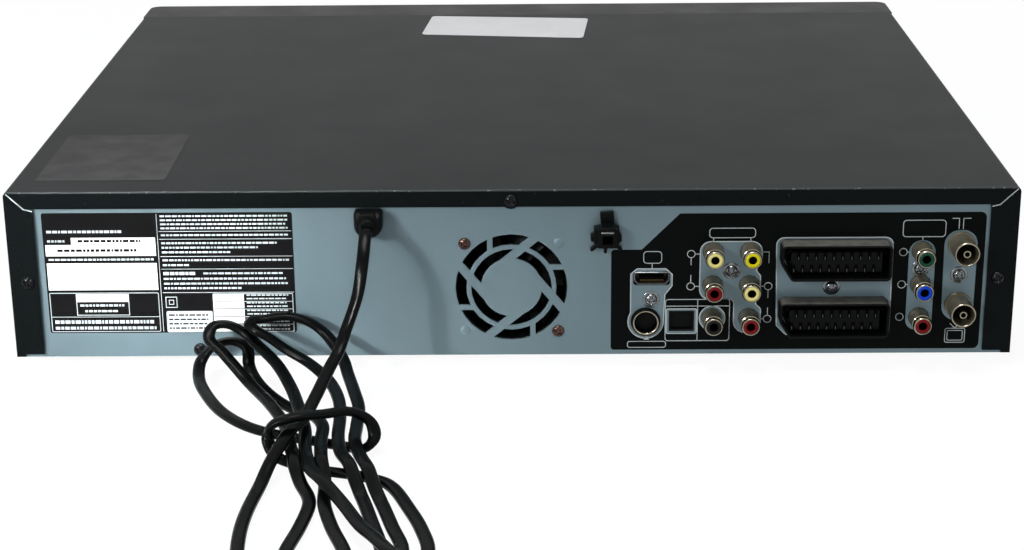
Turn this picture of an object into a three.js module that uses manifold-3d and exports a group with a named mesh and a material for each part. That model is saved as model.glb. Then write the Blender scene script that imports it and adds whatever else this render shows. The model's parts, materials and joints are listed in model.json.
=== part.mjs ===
// Disc and tape combination player, seen mostly from behind, with its mains lead.
// Millimetres, +Z up. The front panel faces -Y and the rear panel +Y.
// Inside the player group, x is measured from the centre line, y from the rear face
// of the cover (so the inside is negative) and z from the cover's lower edge.
import * as THREE from 'three';
import { mergeVertices } from 'three/addons/utils/BufferGeometryUtils.js';
import Module from 'manifold-3d';

const wasm = await Module();
wasm.setup();

// Driving dimensions of the case
const caseWidth = 430;
const coverDepth = 343.2;
const coverHeight = 74.6;
const bezelDepth = 30;
const footHeight = 5.5;
const aerialReach = 12.5;

// Sheet, board and wall thicknesses
const coverSheet = 1;
const panelSheet = 1;
const chassisSheet = 1.2;
const boardThickness = 1.6;
const mouldedWall = 3;

// Clearances: between pieces that touch, round pieces that move, and of holes
const gap = 0.3;
const slack = 0.4;
const overrun = 2;
const weldTolerance = 0.0001;

// Planes that several pieces share
const panelFace = -(coverSheet + gap);
const panelBack = panelFace - panelSheet;
const behindPanel = panelBack - gap;
const coverFront = -coverDepth;
const bezelFront = coverFront - bezelDepth;
const bezelBack = coverFront - gap;
const wallBack = bezelFront + mouldedWall;
const flushFront = bezelFront + gap;
const insideX = caseWidth / 2 - coverSheet - gap;
const insideTop = coverHeight - coverSheet - gap;
const rearFace = (coverDepth + bezelDepth + aerialReach) / 2 - aerialReach;

// Solids from closed three.js geometry
function toSolid(geometry) {
  geometry.deleteAttribute('normal');
  geometry.deleteAttribute('uv');
  const welded = mergeVertices(geometry, weldTolerance);
  return new wasm.Manifold(new wasm.Mesh({
    numProp: 3,
    vertProperties: new Float32Array(welded.attributes.position.array),
    triVerts: new Uint32Array(welded.index.array),
  }));
}

function toGeometry(solid) {
  const mesh = solid.getMesh();
  const geometry = new THREE.BufferGeometry();
  geometry.setAttribute('position', new THREE.BufferAttribute(mesh.vertProperties, 3));
  geometry.setIndex(new THREE.BufferAttribute(mesh.triVerts, 1));
  geometry.computeVertexNormals();
  return geometry;
}

function join(...solids) {
  return solids.reduce((sum, solid) => sum.add(solid));
}

function cut(solid, ...cutters) {
  return cutters.reduce((rest, cutter) => rest.subtract(cutter), solid);
}

function span(centre, width) {
  return [centre - width / 2, centre + width / 2];
}

// A box between pairs of coordinates along x, y and z
function block([x0, x1], [y0, y1], [z0, z1]) {
  const geometry = new THREE.BoxGeometry(x1 - x0, y1 - y0, z1 - z0);
  geometry.translate((x0 + x1) / 2, (y0 + y1) / 2, (z0 + z1) / 2);
  return toSolid(geometry);
}

// A round bar along an axis; the last pair is its place in the other two axes
function rod(axis, radius, [from, to], [u, v], sides = 16) {
  const geometry = new THREE.CylinderGeometry(radius, radius, to - from, sides);
  const middle = (from + to) / 2;
  if (axis === 'x') {
    geometry.rotateZ(-Math.PI / 2);
    geometry.translate(middle, u, v);
  } else if (axis === 'y') {
    geometry.translate(u, middle, v);
  } else {
    geometry.rotateX(Math.PI / 2);
    geometry.translate(u, v, middle);
  }
  return toSolid(geometry);
}

function pipe(axis, outer, inner, [from, to], place, sides = 16) {
  const bore = rod(axis, inner, [from - overrun, to + overrun], place, sides);
  return cut(rod(axis, outer, [from, to], place, sides), bore);
}

// A body of revolution about a line along y or z through the place
function turned(axis, profile, [x, y, z], sides = 16) {
  const points = profile.map(([radius, along]) => new THREE.Vector2(radius, along));
  const geometry = new THREE.LatheGeometry(points, sides);
  if (axis === 'z') geometry.rotateX(Math.PI / 2);
  geometry.translate(x, y, z);
  return toSolid(geometry);
}

function outlineOf(points) {
  return new THREE.Shape(points.map(([a, b]) => new THREE.Vector2(a, b)));
}

// A rectangle with round corners; its radii run from the low left one anticlockwise
function roundedOutline([a0, a1], [b0, b1], radii) {
  const [r0, r1, r2, r3] = Array.isArray(radii) ? radii : [radii, radii, radii, radii];
  const shape = new THREE.Shape();
  shape.moveTo(a0 + r0, b0);
  shape.lineTo(a1 - r1, b0);
  if (r1) shape.absarc(a1 - r1, b0 + r1, r1, -Math.PI / 2, 0);
  shape.lineTo(a1, b1 - r2);
  if (r2) shape.absarc(a1 - r2, b1 - r2, r2, 0, Math.PI / 2);
  shape.lineTo(a0 + r3, b1);
  if (r3) shape.absarc(a0 + r3, b1 - r3, r3, Math.PI / 2, Math.PI);
  shape.lineTo(a0, b0 + r0);
  if (r0) shape.absarc(a0 + r0, b0 + r0, r0, Math.PI, Math.PI * 1.5);
  return shape;
}

// An outline in x and z carried along y
function upright(shape, [y0, y1], curveSegments = 4) {
  const geometry = new THREE.ExtrudeGeometry(shape,
    { depth: y1 - y0, bevelEnabled: false, curveSegments });
  geometry.rotateX(Math.PI / 2);
  geometry.translate(0, y1, 0);
  return toSolid(geometry);
}

// An outline in x and y carried along z
function level(shape, [z0, z1], curveSegments = 4) {
  const geometry = new THREE.ExtrudeGeometry(shape,
    { depth: z1 - z0, bevelEnabled: false, curveSegments });
  geometry.translate(0, 0, z0);
  return toSolid(geometry);
}

// A box turned about the y axis, for slanted cuts in sheet that stands across y
function slantedBlock(length, width, [y0, y1], [x, z], turn) {
  const geometry = new THREE.BoxGeometry(length, y1 - y0, width);
  geometry.rotateY(-turn);
  geometry.translate(x, (y0 + y1) / 2, z);
  return toSolid(geometry);
}

function finish(color, roughness, metalness) {
  return new THREE.MeshStandardMaterial({ color, roughness, metalness });
}

function piece(parent, name, solid, material, place = [0, 0, 0]) {
  const mesh = new THREE.Mesh(toGeometry(solid), material);
  mesh.name = name;
  mesh.position.set(...place);
  parent.add(mesh);
}

const blackPaint = finish(0x47494b, 0.5, 0.2);
const zincSheet = finish(0x7f929a, 0.45, 0.7);
const blackPlastic = finish(0x17191b, 0.5, 0);
const smokedLens = finish(0x0d0f12, 0.15, 0);
const rubber = finish(0x1a1a1a, 0.85, 0);
const blackScrew = finish(0x101214, 0.4, 0.6);
const steel = finish(0xaab0b3, 0.35, 0.9);
const nickel = finish(0x8d8878, 0.35, 0.8);
const boardGreen = finish(0x2f6b45, 0.6, 0);
const boardBrown = finish(0xb08a55, 0.7, 0);
const aluminium = finish(0xb9bcbe, 0.4, 0.9);
const ferrite = finish(0x3a3530, 0.7, 0.1);
const greyPlastic = finish(0x8b8f92, 0.6, 0);
const whitePlastic = finish(0xe2e0d8, 0.55, 0);

// Places on the rear panel
const phonoRows = { low: 16, middle: 31, high: 46 };
const socketSide = -caseWidth / 2;
const fromSocketSide = {
  aerial: 23.5, component: 40, multipin: 77, av: 113, avPitch: 15.8, optical: 141.9,
  digitalVideo: 154.9, roundVideo: 157.3, clip: 174.5, fan: 215, grommet: 275.2, lowScrew: 350.2,
};
const avColumns = {
  outer: socketSide + fromSocketSide.av + fromSocketSide.avPitch,
  inner: socketSide + fromSocketSide.av,
};
const componentColumn = socketSide + fromSocketSide.component;
const phonoPlaces = [
  [avColumns.outer, phonoRows.high], [avColumns.outer, phonoRows.middle],
  [avColumns.inner, phonoRows.high], [avColumns.inner, phonoRows.middle],
  [avColumns.inner, phonoRows.low],
];
const componentPlaces = Object.values(phonoRows).map((z) => [componentColumn, z]);
const coaxialPlace = [avColumns.outer, phonoRows.low];
const opticalPlace = [socketSide + fromSocketSide.optical, 14.8];
const roundVideoPlace = [socketSide + fromSocketSide.roundVideo, 14.6];
const digitalVideoPlace = [socketSide + fromSocketSide.digitalVideo, 34.3];
const multipinX = socketSide + fromSocketSide.multipin;
const multipinZ = { lower: 17.2, upper: 43.2 };
const aerialX = socketSide + fromSocketSide.aerial;
const aerialZ = { lower: 21.6, upper: 48.8 };
const fanPlace = [socketSide + fromSocketSide.fan, 30.5];
const grommetPlace = [socketSide + fromSocketSide.grommet, 61];
const clipPlace = [socketSide + fromSocketSide.clip, 56];
const sideScrew = { x: 207.5, z: 34.2 };
const lipScrewZ = 69.9;
const lowScrewPlace = [socketSide + fromSocketSide.lowScrew, 2.6];

// Cover: one sheet bent over the top and sides, with flanges and a lip behind
const coverBend = 2;
const flangeWidth = 12;
const lipHeight = 7.5;
const flangeCorner = 1.5;
const flangeFootRise = 1.2;
const flangeFootWidth = 4;
const mitreGap = 0.5;
const mitreStart = 4.2;
const mitreSpan = 6.4;
const lipEarRadius = 3.8;
const coverHoleRadius = 1.8;

function coverArch(inset, low) {
  const x = caseWidth / 2 - inset;
  const top = coverHeight - inset;
  const bend = coverBend - inset;
  const shape = new THREE.Shape();
  shape.moveTo(-x, low);
  shape.lineTo(x, low);
  shape.lineTo(x, top - bend);
  shape.absarc(x - bend, top - bend, bend, 0, Math.PI / 2);
  shape.lineTo(bend - x, top);
  shape.absarc(bend - x, top - bend, bend, Math.PI / 2, Math.PI);
  return shape;
}

function makeCover() {
  const flangeX = caseWidth / 2 - flangeWidth;
  const lipLow = coverHeight - lipHeight;
  const throughRear = [-coverSheet - overrun, overrun];
  const opening = roundedOutline([-flangeX, flangeX], [-overrun, lipLow],
    [0, 0, flangeCorner, flangeCorner]);
  let cover = cut(upright(coverArch(0, 0), [coverFront, 0]),
    upright(coverArch(coverSheet, -overrun), [coverFront - overrun, -coverSheet]),
    upright(opening, throughRear));
  cover = cover.add(rod('y', lipEarRadius, [-coverSheet, 0], [0, lipScrewZ]));
  const holes = [rod('y', coverHoleRadius, throughRear, [0, lipScrewZ], 10)];
  for (const side of [-1, 1]) {
    const mitreX = side * (flangeX + mitreStart + mitreSpan / 2);
    const slotEnds = [side * (flangeX - overrun), side * (flangeX + mitreStart)];
    const footEnds = [side * (flangeX - overrun), side * (caseWidth / 2 - flangeFootWidth)];
    holes.push(
      rod('y', coverHoleRadius, throughRear, [side * sideScrew.x, sideScrew.z], 10),
      slantedBlock(mitreSpan * Math.SQRT2, mitreGap, throughRear,
        [mitreX, lipLow + mitreSpan / 2], side * Math.PI / 4),
      block(slotEnds.sort((a, b) => a - b), throughRear, [lipLow - mitreGap, lipLow]),
      block(footEnds.sort((a, b) => a - b), throughRear, [-overrun, flangeFootRise]),
    );
  }
  return cut(cover, ...holes);
}

// Sockets: sizes shared by each socket and by its hole in the panel
const phono = { radius: 4.25, reach: 10.5, tipRadius: 3.7, tipLength: 1.2, bore: 1.7, boreDepth: 9 };
const aerial = { radius: 5.3, bore: 4.5, boreDepth: 11, pin: 1.8, pinBore: 1 };
const roundVideo = { radius: 6.2, bore: 5.3, boreDepth: 6, reach: 0.8 };
const optical = { width: 10.9, height: 9.2, recess: 6, wall: 1.2 };
const digitalVideo = { width: 15.2, height: 5.7, wall: 0.5, depth: 12, recess: 8, corner: 1.4 };
const digitalTongue = { width: 11, height: 1.6 };
const multipin = { width: 46.9, height: 16.2, reach: 7, wall: 1.3, groove: 2.2, recess: 9 };
const multipinBlockSet = 2;
const multipinSlant = 4.6;
const multipinCorner = 2.2;
const grommetHead = { width: 12.2, height: 11.6, reach: 8, taper: 0.8 };
const grommetNeck = 4.4;
const clipPin = 2.1;

// The outline of a multipin socket, with its one slanted side, grown by a margin
function multipinOutline(centreZ, margin) {
  const half = multipin.width / 2 + margin;
  const low = centreZ - multipin.height / 2 - margin;
  const high = centreZ + multipin.height / 2 + margin;
  const corner = multipinCorner;
  const slant = multipinSlant;
  return outlineOf([
    [multipinX - half, low + corner], [multipinX - half + corner, low],
    [multipinX + half - slant - corner, low], [multipinX + half - slant, low + corner],
    [multipinX + half, high - corner], [multipinX + half - corner, high],
    [multipinX - half + corner, high], [multipinX - half, high - corner],
  ]);
}

// Fan grille: an outer ring of eight slots and an inner ring of four, cut between ribs
const grille = { outerHigh: 24, outerLow: 19.3, innerHigh: 17.3, innerLow: 13.1 };
const straightRib = { width: 2.3, offset: 9.1 };
const slantRib = { width: 3.8, offset: 10.7, turn: 0.69 };

function grilleSlots() {
  const through = [panelBack - overrun, panelFace + overrun];
  const place = fanPlace;
  const ring = pipe('y', grille.outerHigh, grille.outerLow, through, place, 32)
    .add(pipe('y', grille.innerHigh, grille.innerLow, through, place, 32));
  const outerRing = pipe('y', grille.outerHigh + gap, grille.outerLow - gap,
    [panelBack - 2 * overrun, panelFace + 2 * overrun], place, 32);
  const ribLength = grille.outerHigh + overrun;
  let ribs = null;
  for (let quarter = 0; quarter < 4; quarter += 1) {
    const straight = rib(straightRib.width, straightRib.offset, 0, ribLength, quarter);
    const slanted = rib(slantRib.width, slantRib.offset, slantRib.turn, ribLength, quarter);
    const pair = straight.intersect(outerRing).add(slanted);
    ribs = ribs ? ribs.add(pair) : pair;
  }
  return ring.subtract(ribs);
}

// One rib: a bar that starts beside the middle and runs outwards past both rings
function rib(width, offset, turn, length, quarter) {
  const depth = panelSheet + 4 * overrun;
  const geometry = new THREE.BoxGeometry(width, depth, length);
  geometry.translate(offset, 0, length / 2);
  geometry.rotateY(turn - quarter * Math.PI / 2);
  geometry.translate(fanPlace[0], (panelFace + panelBack) / 2, fanPlace[1]);
  return toSolid(geometry);
}

// Fan: a square frame behind the grille, screwed through the panel at its corners
const fan = { size: 50, depth: 15, bore: 23.6, hub: 10.5, blade: 22.4, screwPitch: 40 };
const fanScrewHole = 1.9;
const fanSpoke = { width: 3, depth: 2.5 };
const fanBlade = { count: 7, thickness: 1.6, length: 9, pitch: 0.75 };
const fanShaft = { radius: 1.5, bore: 1.8 };
const fanBack = behindPanel - fan.depth;

// Corners of the fan, where screws hold it; the other two are only dimpled
const fanCorners = [[1, 1], [-1, -1]].map(([a, b]) => [
  fanPlace[0] + a * fan.screwPitch / 2, fanPlace[1] + b * fan.screwPitch / 2]);

const panelDrop = 0.4;
const screwHole = 1.8;

function makeRearPanel() {
  const through = [panelBack - overrun, panelFace + overrun];
  const holes = [grilleSlots()];
  for (const place of [...phonoPlaces, ...componentPlaces, coaxialPlace]) {
    holes.push(rod('y', phono.radius + gap, through, place, 12));
  }
  for (const z of Object.values(aerialZ)) {
    holes.push(rod('y', aerial.radius + gap, through, [aerialX, z]));
  }
  for (const z of Object.values(multipinZ)) {
    holes.push(upright(multipinOutline(z, gap), through));
  }
  for (const place of fanCorners) holes.push(rod('y', fanScrewHole, through, place, 12));
  for (const side of [-1, 1]) {
    holes.push(rod('y', screwHole, through, [side * sideScrew.x, sideScrew.z], 12));
  }
  holes.push(
    rod('y', screwHole, through, [0, lipScrewZ], 12),
    rod('y', screwHole, through, lowScrewPlace, 12),
    rod('y', roundVideo.radius + gap, through, roundVideoPlace),
    rod('y', grommetNeck + gap, through, grommetPlace),
    rod('y', clipPin + gap, through, clipPlace, 12),
    block(span(opticalPlace[0], optical.width), through, span(opticalPlace[1], optical.height)),
    upright(roundedOutline(span(digitalVideoPlace[0], digitalVideo.width + 2 * gap),
      span(digitalVideoPlace[1], digitalVideo.height + 2 * gap),
      [digitalVideo.corner, digitalVideo.corner, 0, 0]), through),
  );
  return cut(block([-insideX, insideX], [panelBack, panelFace], [-panelDrop, insideTop]), ...holes);
}

// Chassis: a shallow steel tray with posts for everything that stands on it
const chassisWall = 16;
const rearFlange = 5;
const boardPost = 4;
const postRadius = 3;
const footInsetX = 50;
const footInsetY = 45;
const footHole = 2;
const ventSlot = { count: 9, width: 3, length: 34, pitch: 8 };
const skirtDepth = 8;
const floorTop = chassisSheet;
const boardLow = floorTop + boardPost + gap;
const boardTop = boardLow + boardThickness;
const onBoard = boardTop + gap;

const footPlaces = {
  foot_rear_left: [-caseWidth / 2 + footInsetX, -footInsetY],
  foot_rear_right: [caseWidth / 2 - footInsetX, -footInsetY],
  foot_front_left: [-caseWidth / 2 + footInsetX, coverFront + footInsetY],
  foot_front_right: [caseWidth / 2 - footInsetX, coverFront + footInsetY],
};

// Boards that lie on the chassis behind the two mechanisms
const boardSetback = 2;
const mainBoardEdges = { socketSide: 7, width: 180, depth: 93.4 };
const powerBoardEdges = { socketSide: 249, mainsSide: 9, depth: 113.4 };
const mainBoard = {
  x: [socketSide + mainBoardEdges.socketSide,
    socketSide + mainBoardEdges.socketSide + mainBoardEdges.width],
  y: [behindPanel - boardSetback - mainBoardEdges.depth, behindPanel - boardSetback],
};
const powerBoard = {
  x: [socketSide + powerBoardEdges.socketSide, caseWidth / 2 - powerBoardEdges.mainsSide],
  y: [behindPanel - boardSetback - powerBoardEdges.depth, behindPanel - boardSetback],
};
const boardInset = 6;

function boardCorners({ x, y }) {
  return x.flatMap((a, i) => y.map((b, j) => [
    a + (i ? -boardInset : boardInset), b + (j ? -boardInset : boardInset)]));
}

// Disc drive and tape deck: where each stands and where its posts are
const driveWidth = 148;
const driveMargin = 43.7;
const driveSetback = 15;
const drive = {
  x: insideX - driveMargin - driveWidth / 2, front: bezelFront + driveSetback, low: 8,
  halfWidth: driveWidth / 2, depth: 170,
};
// The tape deck's width builds up from the cassette's, wall by wall
const cassette = { halfWidth: 94.5, height: 27, depth: 104, floor: 38.5, play: 1 };
const holder = { wall: 1, ledge: 12, gateTop: 66.5, front: 2 };
const sledgeSheet = 1.5;
const bracketSheet = 1.6;
const sledgeRoom = 2.5;
const bracketRoom = 0.7;
const deckMargin = 3.7;
const deckEdge = 1.2;
const deckSetback = 33.2;
const holderOuter = cassette.halfWidth + cassette.play + holder.wall;
const sledgeInner = holderOuter + sledgeRoom;
const bracketInner = sledgeInner + sledgeSheet + bracketRoom;
const deckHalfWidth = bracketInner + bracketSheet + deckEdge;
const deck = {
  x: deckMargin + deckHalfWidth - insideX, front: bezelFront + deckSetback, low: 16,
  halfWidth: deckHalfWidth, rear: 216,
};
const drivePostInset = 12;
const deckPostInset = 8;
const bearingRadius = 4;

const drivePosts = [-1, 1].flatMap((side) => [
  [drive.x + side * (drive.halfWidth - drivePostInset), drive.front + 3 * drivePostInset],
  [drive.x + side * (drive.halfWidth - drivePostInset), drive.front + drive.depth - drivePostInset],
]);
const deckPosts = [-1, 1].flatMap((side) => [
  [deck.x + side * (deck.halfWidth - deckPostInset), deck.front + 2 * deckPostInset],
  [deck.x + side * (deck.halfWidth - deckPostInset), deck.front + deck.rear - deckPostInset],
]);

function makeChassis() {
  const sideX = insideX - chassisSheet;
  const wallStart = coverFront + skirtDepth + gap;
  const post = ([x, y], top) => rod('z', postRadius, [0, top], [x, y], 6);
  const rearWall = block([-insideX, insideX], [behindPanel - chassisSheet, behindPanel],
    [0, rearFlange]);
  let chassis = block([-insideX, insideX], [coverFront, behindPanel], [0, chassisSheet]);
  for (const side of [-1, 1]) {
    const ends = [side * insideX, side * sideX].sort((a, b) => a - b);
    chassis = chassis.add(block(ends, [wallStart, behindPanel], [0, chassisWall]));
  }
  chassis = join(chassis, rearWall,
    ...[mainBoard, powerBoard].flatMap(boardCorners).map((p) => post(p, floorTop + boardPost)),
    ...drivePosts.map((p) => post(p, drive.low - gap)),
    ...deckPosts.map((p) => post(p, deck.low - gap)));
  const through = [-overrun, chassisSheet + overrun];
  const slots = [];
  for (let i = 0; i < ventSlot.count; i += 1) {
    const x = powerBoard.x[0] + boardInset * 2 + i * ventSlot.pitch;
    slots.push(block([x, x + ventSlot.width], span((powerBoard.y[0] + powerBoard.y[1]) / 2,
      ventSlot.length), through));
  }
  const rearHole = [behindPanel - chassisSheet - overrun, behindPanel + overrun];
  return cut(chassis, ...slots,
    ...Object.values(footPlaces).map((p) => rod('z', footHole, through, p, 12)),
    rod('y', screwHole, rearHole, lowScrewPlace, 12));
}

// A foot: a rubber dish with a stem that pushes into the chassis
const foot = { topRadius: 14, lowRadius: 12.5, dishRadius: 6, dishDepth: 2, stemReach: 3 };
const footStem = footHole - gap;

function makeFoot() {
  return turned('z', [
    [0, -footHeight + foot.dishDepth], [foot.dishRadius, -footHeight + foot.dishDepth],
    [foot.dishRadius + gap, -footHeight], [foot.lowRadius, -footHeight],
    [foot.topRadius, -gap], [footStem, -gap], [footStem, foot.stemReach], [0, foot.stemReach],
  ], [0, 0, 0], 12);
}

// A cross-head screw along y, its head seated on the plane y = 0
const screwHead = { radius: 2.8, height: 1.9, crown: 0.62, slotWidth: 0.9, slotDepth: 0.9 };
const screwCore = 1.5;

function makeScrew(shank) {
  const { radius, height, crown, slotWidth, slotDepth } = screwHead;
  const screw = turned('y', [
    [0, -shank], [screwCore, -shank], [screwCore, gap], [radius, gap],
    [radius, height / 2], [radius * crown, height], [0, height],
  ], [0, 0, 0], 10);
  const slot = [height - slotDepth, height + overrun];
  const long = span(0, radius);
  const thin = span(0, slotWidth);
  return cut(screw, block(long, slot, thin), block(thin, slot, long));
}

// Casing group
const player = new THREE.Group();
player.position.set(0, rearFace, footHeight);

piece(player, 'top_cover', makeCover(), blackPaint);
piece(player, 'rear_panel', makeRearPanel(), zincSheet);
piece(player, 'bottom_chassis', makeChassis(), zincSheet);
for (const [name, [x, y]] of Object.entries(footPlaces)) {
  piece(player, name, makeFoot(), rubber, [x, y, 0]);
}
const coverShank = 7;
const screwPlaces = {
  cover_screw_top: [0, 0, lipScrewZ],
  cover_screw_left: [-sideScrew.x, 0, sideScrew.z],
  cover_screw_right: [sideScrew.x, 0, sideScrew.z],
};
for (const [name, place] of Object.entries(screwPlaces)) {
  piece(player, name, makeScrew(coverShank), blackScrew, place);
}
const panelShank = panelSheet + 2 * gap + chassisSheet + slack;
piece(player, 'panel_screw_low', makeScrew(panelShank), blackScrew,
  [lowScrewPlace[0], panelFace, lowScrewPlace[1]]);

// Sockets that stand on the main board and look out through the rear panel
const sockets = new THREE.Group();
player.add(sockets);
const socketDepth = 14;
const socketBack = behindPanel - socketDepth;
const socketSpan = [socketBack, behindPanel];

function phonoBarrel(place) {
  const { radius, reach, tipRadius, tipLength } = phono;
  return rod('y', radius, [behindPanel - gap, reach - tipLength], place, 12)
    .add(rod('y', tipRadius, [reach - tipLength - gap, reach], place, 12));
}

function phonoBore(place) {
  return rod('y', phono.bore, [phono.reach - phono.boreDepth, phono.reach + overrun], place, 6);
}

const housingReach = 7.3;

function makeAvBlock() {
  const { outer, inner } = avColumns;
  const { low, middle, high } = phonoRows;
  const left = inner - housingReach;
  const housing = join(
    block([left, outer + housingReach], socketSpan, [middle - housingReach, high + housingReach]),
    block([left, inner + housingReach], socketSpan, [onBoard, middle]));
  const barrels = phonoPlaces.map(phonoBarrel);
  return cut(join(housing, ...barrels), ...phonoPlaces.map(phonoBore));
}

function makeComponentBlock() {
  const { high } = phonoRows;
  const housing = block(span(componentColumn, 2 * housingReach), socketSpan,
    [onBoard, high + housingReach]);
  return cut(join(housing, ...componentPlaces.map(phonoBarrel)), ...componentPlaces.map(phonoBore));
}

// The digital audio block holds the square optical mouth and the coaxial jack
function makeDigitalAudioBlock() {
  const [opticalX, opticalZ] = opticalPlace;
  const high = phonoRows.middle - housingReach - gap;
  const x = [avColumns.inner + housingReach + gap, opticalX + optical.width / 2 + optical.wall];
  const housing = block(x, socketSpan, [onBoard, high]);
  const mouth = block(span(opticalX, optical.width - optical.wall),
    [behindPanel - optical.recess, behindPanel + overrun],
    span(opticalZ, optical.height - optical.wall));
  return cut(housing.add(phonoBarrel(coaxialPlace)), phonoBore(coaxialPlace), mouth);
}

const roundHousingWidth = 15.6;
const roundHousing = { x: span(roundVideoPlace[0], roundHousingWidth), top: 30.9 };

function makeRoundVideoSocket() {
  const { radius, bore, boreDepth, reach } = roundVideo;
  const housing = block(roundHousing.x, socketSpan, [onBoard, roundHousing.top]);
  const barrel = rod('y', radius, [behindPanel - gap, reach], roundVideoPlace);
  const recess = rod('y', bore, [reach - boreDepth, reach + overrun], roundVideoPlace);
  return cut(housing.add(barrel), recess);
}

// The digital video socket is a folded shell with a tongue, on top of the round socket
function makeDigitalVideoSocket() {
  const [x, z] = digitalVideoPlace;
  const { width, height, wall, depth, recess, corner } = digitalVideo;
  const front = panelFace;
  const outer = roundedOutline(span(x, width), span(z, height), [corner, corner, 0, 0]);
  const inner = roundedOutline(span(x, width - 2 * wall), span(z, height - 2 * wall),
    [corner, corner, 0, 0]);
  const shell = cut(upright(outer, [behindPanel - depth, front]),
    upright(inner, [front - recess, front + overrun]));
  const tongue = block(span(x, digitalTongue.width), [front - recess - gap, front - 1.5 * gap],
    span(z, digitalTongue.height));
  const foot = block(roundHousing.x, [behindPanel - depth, behindPanel],
    [roundHousing.top + gap, z - height / 2 + wall]);
  return join(shell, tongue, foot);
}

// A multipin socket: a shell that stands out of the panel round a block of contacts
function makeMultipinSocket(z, [low, high]) {
  const { width, reach, wall, groove, recess } = multipin;
  const body = block(span(multipinX, width + 2 * wall), socketSpan, [low, high]);
  const shell = upright(multipinOutline(z, 0), [behindPanel - gap, reach]);
  const hollow = upright(multipinOutline(z, -wall), [reach - recess, reach + overrun]);
  const contacts = upright(multipinOutline(z, -wall - groove),
    [reach - recess - gap, reach - multipinBlockSet]);
  return cut(body.add(shell), hollow).add(contacts);
}

// The tuner is a folded tin box with two aerial sockets
const tuner = { halfWidth: 8, depth: 82, top: 58 };

function makeTuner() {
  const box = block(span(aerialX, 2 * tuner.halfWidth), [behindPanel - tuner.depth, behindPanel],
    [onBoard, tuner.top]);
  const barrels = Object.values(aerialZ).map((z) => {
    const place = [aerialX, z];
    const floor = aerialReach - aerial.boreDepth;
    const barrel = rod('y', aerial.radius, [behindPanel - gap, aerialReach], place);
    const bore = rod('y', aerial.bore, [floor, aerialReach + overrun], place);
    const pin = pipe('y', aerial.pin, aerial.pinBore, [floor - gap, aerialReach - slack], place, 12);
    return cut(barrel, bore).add(pin);
  });
  return join(box, ...barrels);
}

piece(sockets, 'av_jack_block', makeAvBlock(), blackPlastic);
piece(sockets, 'component_jack_block', makeComponentBlock(), blackPlastic);
piece(sockets, 'digital_audio_block', makeDigitalAudioBlock(), blackPlastic);
piece(sockets, 'round_video_socket', makeRoundVideoSocket(), blackPlastic);
piece(sockets, 'digital_video_socket', makeDigitalVideoSocket(), steel);
const multipinSplit = 28;
const multipinTop = 53;
piece(sockets, 'multipin_socket_lower',
  makeMultipinSocket(multipinZ.lower, [onBoard, multipinSplit]), blackPlastic);
piece(sockets, 'multipin_socket_upper',
  makeMultipinSocket(multipinZ.upper, [multipinSplit + gap, multipinTop]), blackPlastic);
piece(sockets, 'tuner_box', makeTuner(), nickel);

// Fan frame and rotor
function makeFanFrame() {
  const [x, z] = fanPlace;
  const depth = [fanBack, behindPanel];
  const shell = cut(upright(roundedOutline(span(x, fan.size), span(z, fan.size), fanSpoke.width),
    depth), rod('y', fan.bore, [fanBack - overrun, overrun], fanPlace, 28));
  const reach = 2 * fan.bore + overrun;
  const spokes = [fanBack, fanBack + fanSpoke.depth];
  const hub = rod('y', fan.hub, spokes, fanPlace, 16);
  const holes = fanCorners.map((p) => rod('y', fanScrewHole, [fanBack - overrun, overrun], p, 12));
  return cut(join(shell, hub, block(span(x, reach), spokes, span(z, fanSpoke.width)),
    block(span(x, fanSpoke.width), spokes, span(z, reach)),
    rod('y', fanShaft.radius, [fanBack, behindPanel - fan.hub], fanPlace, 12)), ...holes);
}

function makeFanRotor() {
  const low = fanBack + fanSpoke.depth + gap;
  const high = behindPanel - slack;
  const cup = rod('y', fan.hub, [low, high], [0, 0], 16);
  const blades = [];
  for (let i = 0; i < fanBlade.count; i += 1) {
    const blade = new THREE.BoxGeometry(fan.blade - fan.hub + overrun, fanBlade.length,
      fanBlade.thickness);
    blade.rotateX(fanBlade.pitch);
    blade.translate((fan.blade + fan.hub - overrun) / 2, (low + high) / 2, 0);
    blade.rotateY((i * 2 * Math.PI) / fanBlade.count);
    blades.push(toSolid(blade));
  }
  const rim = rod('y', fan.blade, [low, high], [0, 0], 28);
  const bore = rod('y', fanShaft.bore, [low - overrun, behindPanel - fan.hub + slack], [0, 0], 12);
  return cut(join(cup, ...blades).intersect(rim), bore);
}

piece(player, 'fan_frame', makeFanFrame(), blackPlastic);
piece(player, 'fan_rotor', makeFanRotor(), blackPlastic, [fanPlace[0], 0, fanPlace[1]]);

// Boards and power parts
function makeMainBoard() {
  const { x, y } = mainBoard;
  const chip = { size: 26, height: 2.6 };
  const can = { radius: 5, height: 12 };
  const middle = (y[0] + y[1]) / 2 - chip.size / 2;
  const chipXs = [x[0] + 2 * chip.size, x[0] + 4 * chip.size];
  const canXs = [x[1] - 3 * can.radius, x[1] - 7 * can.radius, x[1] - 11 * can.radius];
  return join(block(x, y, [boardLow, boardTop]),
    ...chipXs.map((a) => block(span(a, chip.size), span(middle, chip.size),
      [boardLow, boardTop + chip.height])),
    ...canXs.map((a) => rod('z', can.radius, [boardLow, boardTop + can.height], [a, middle], 12)));
}

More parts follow.
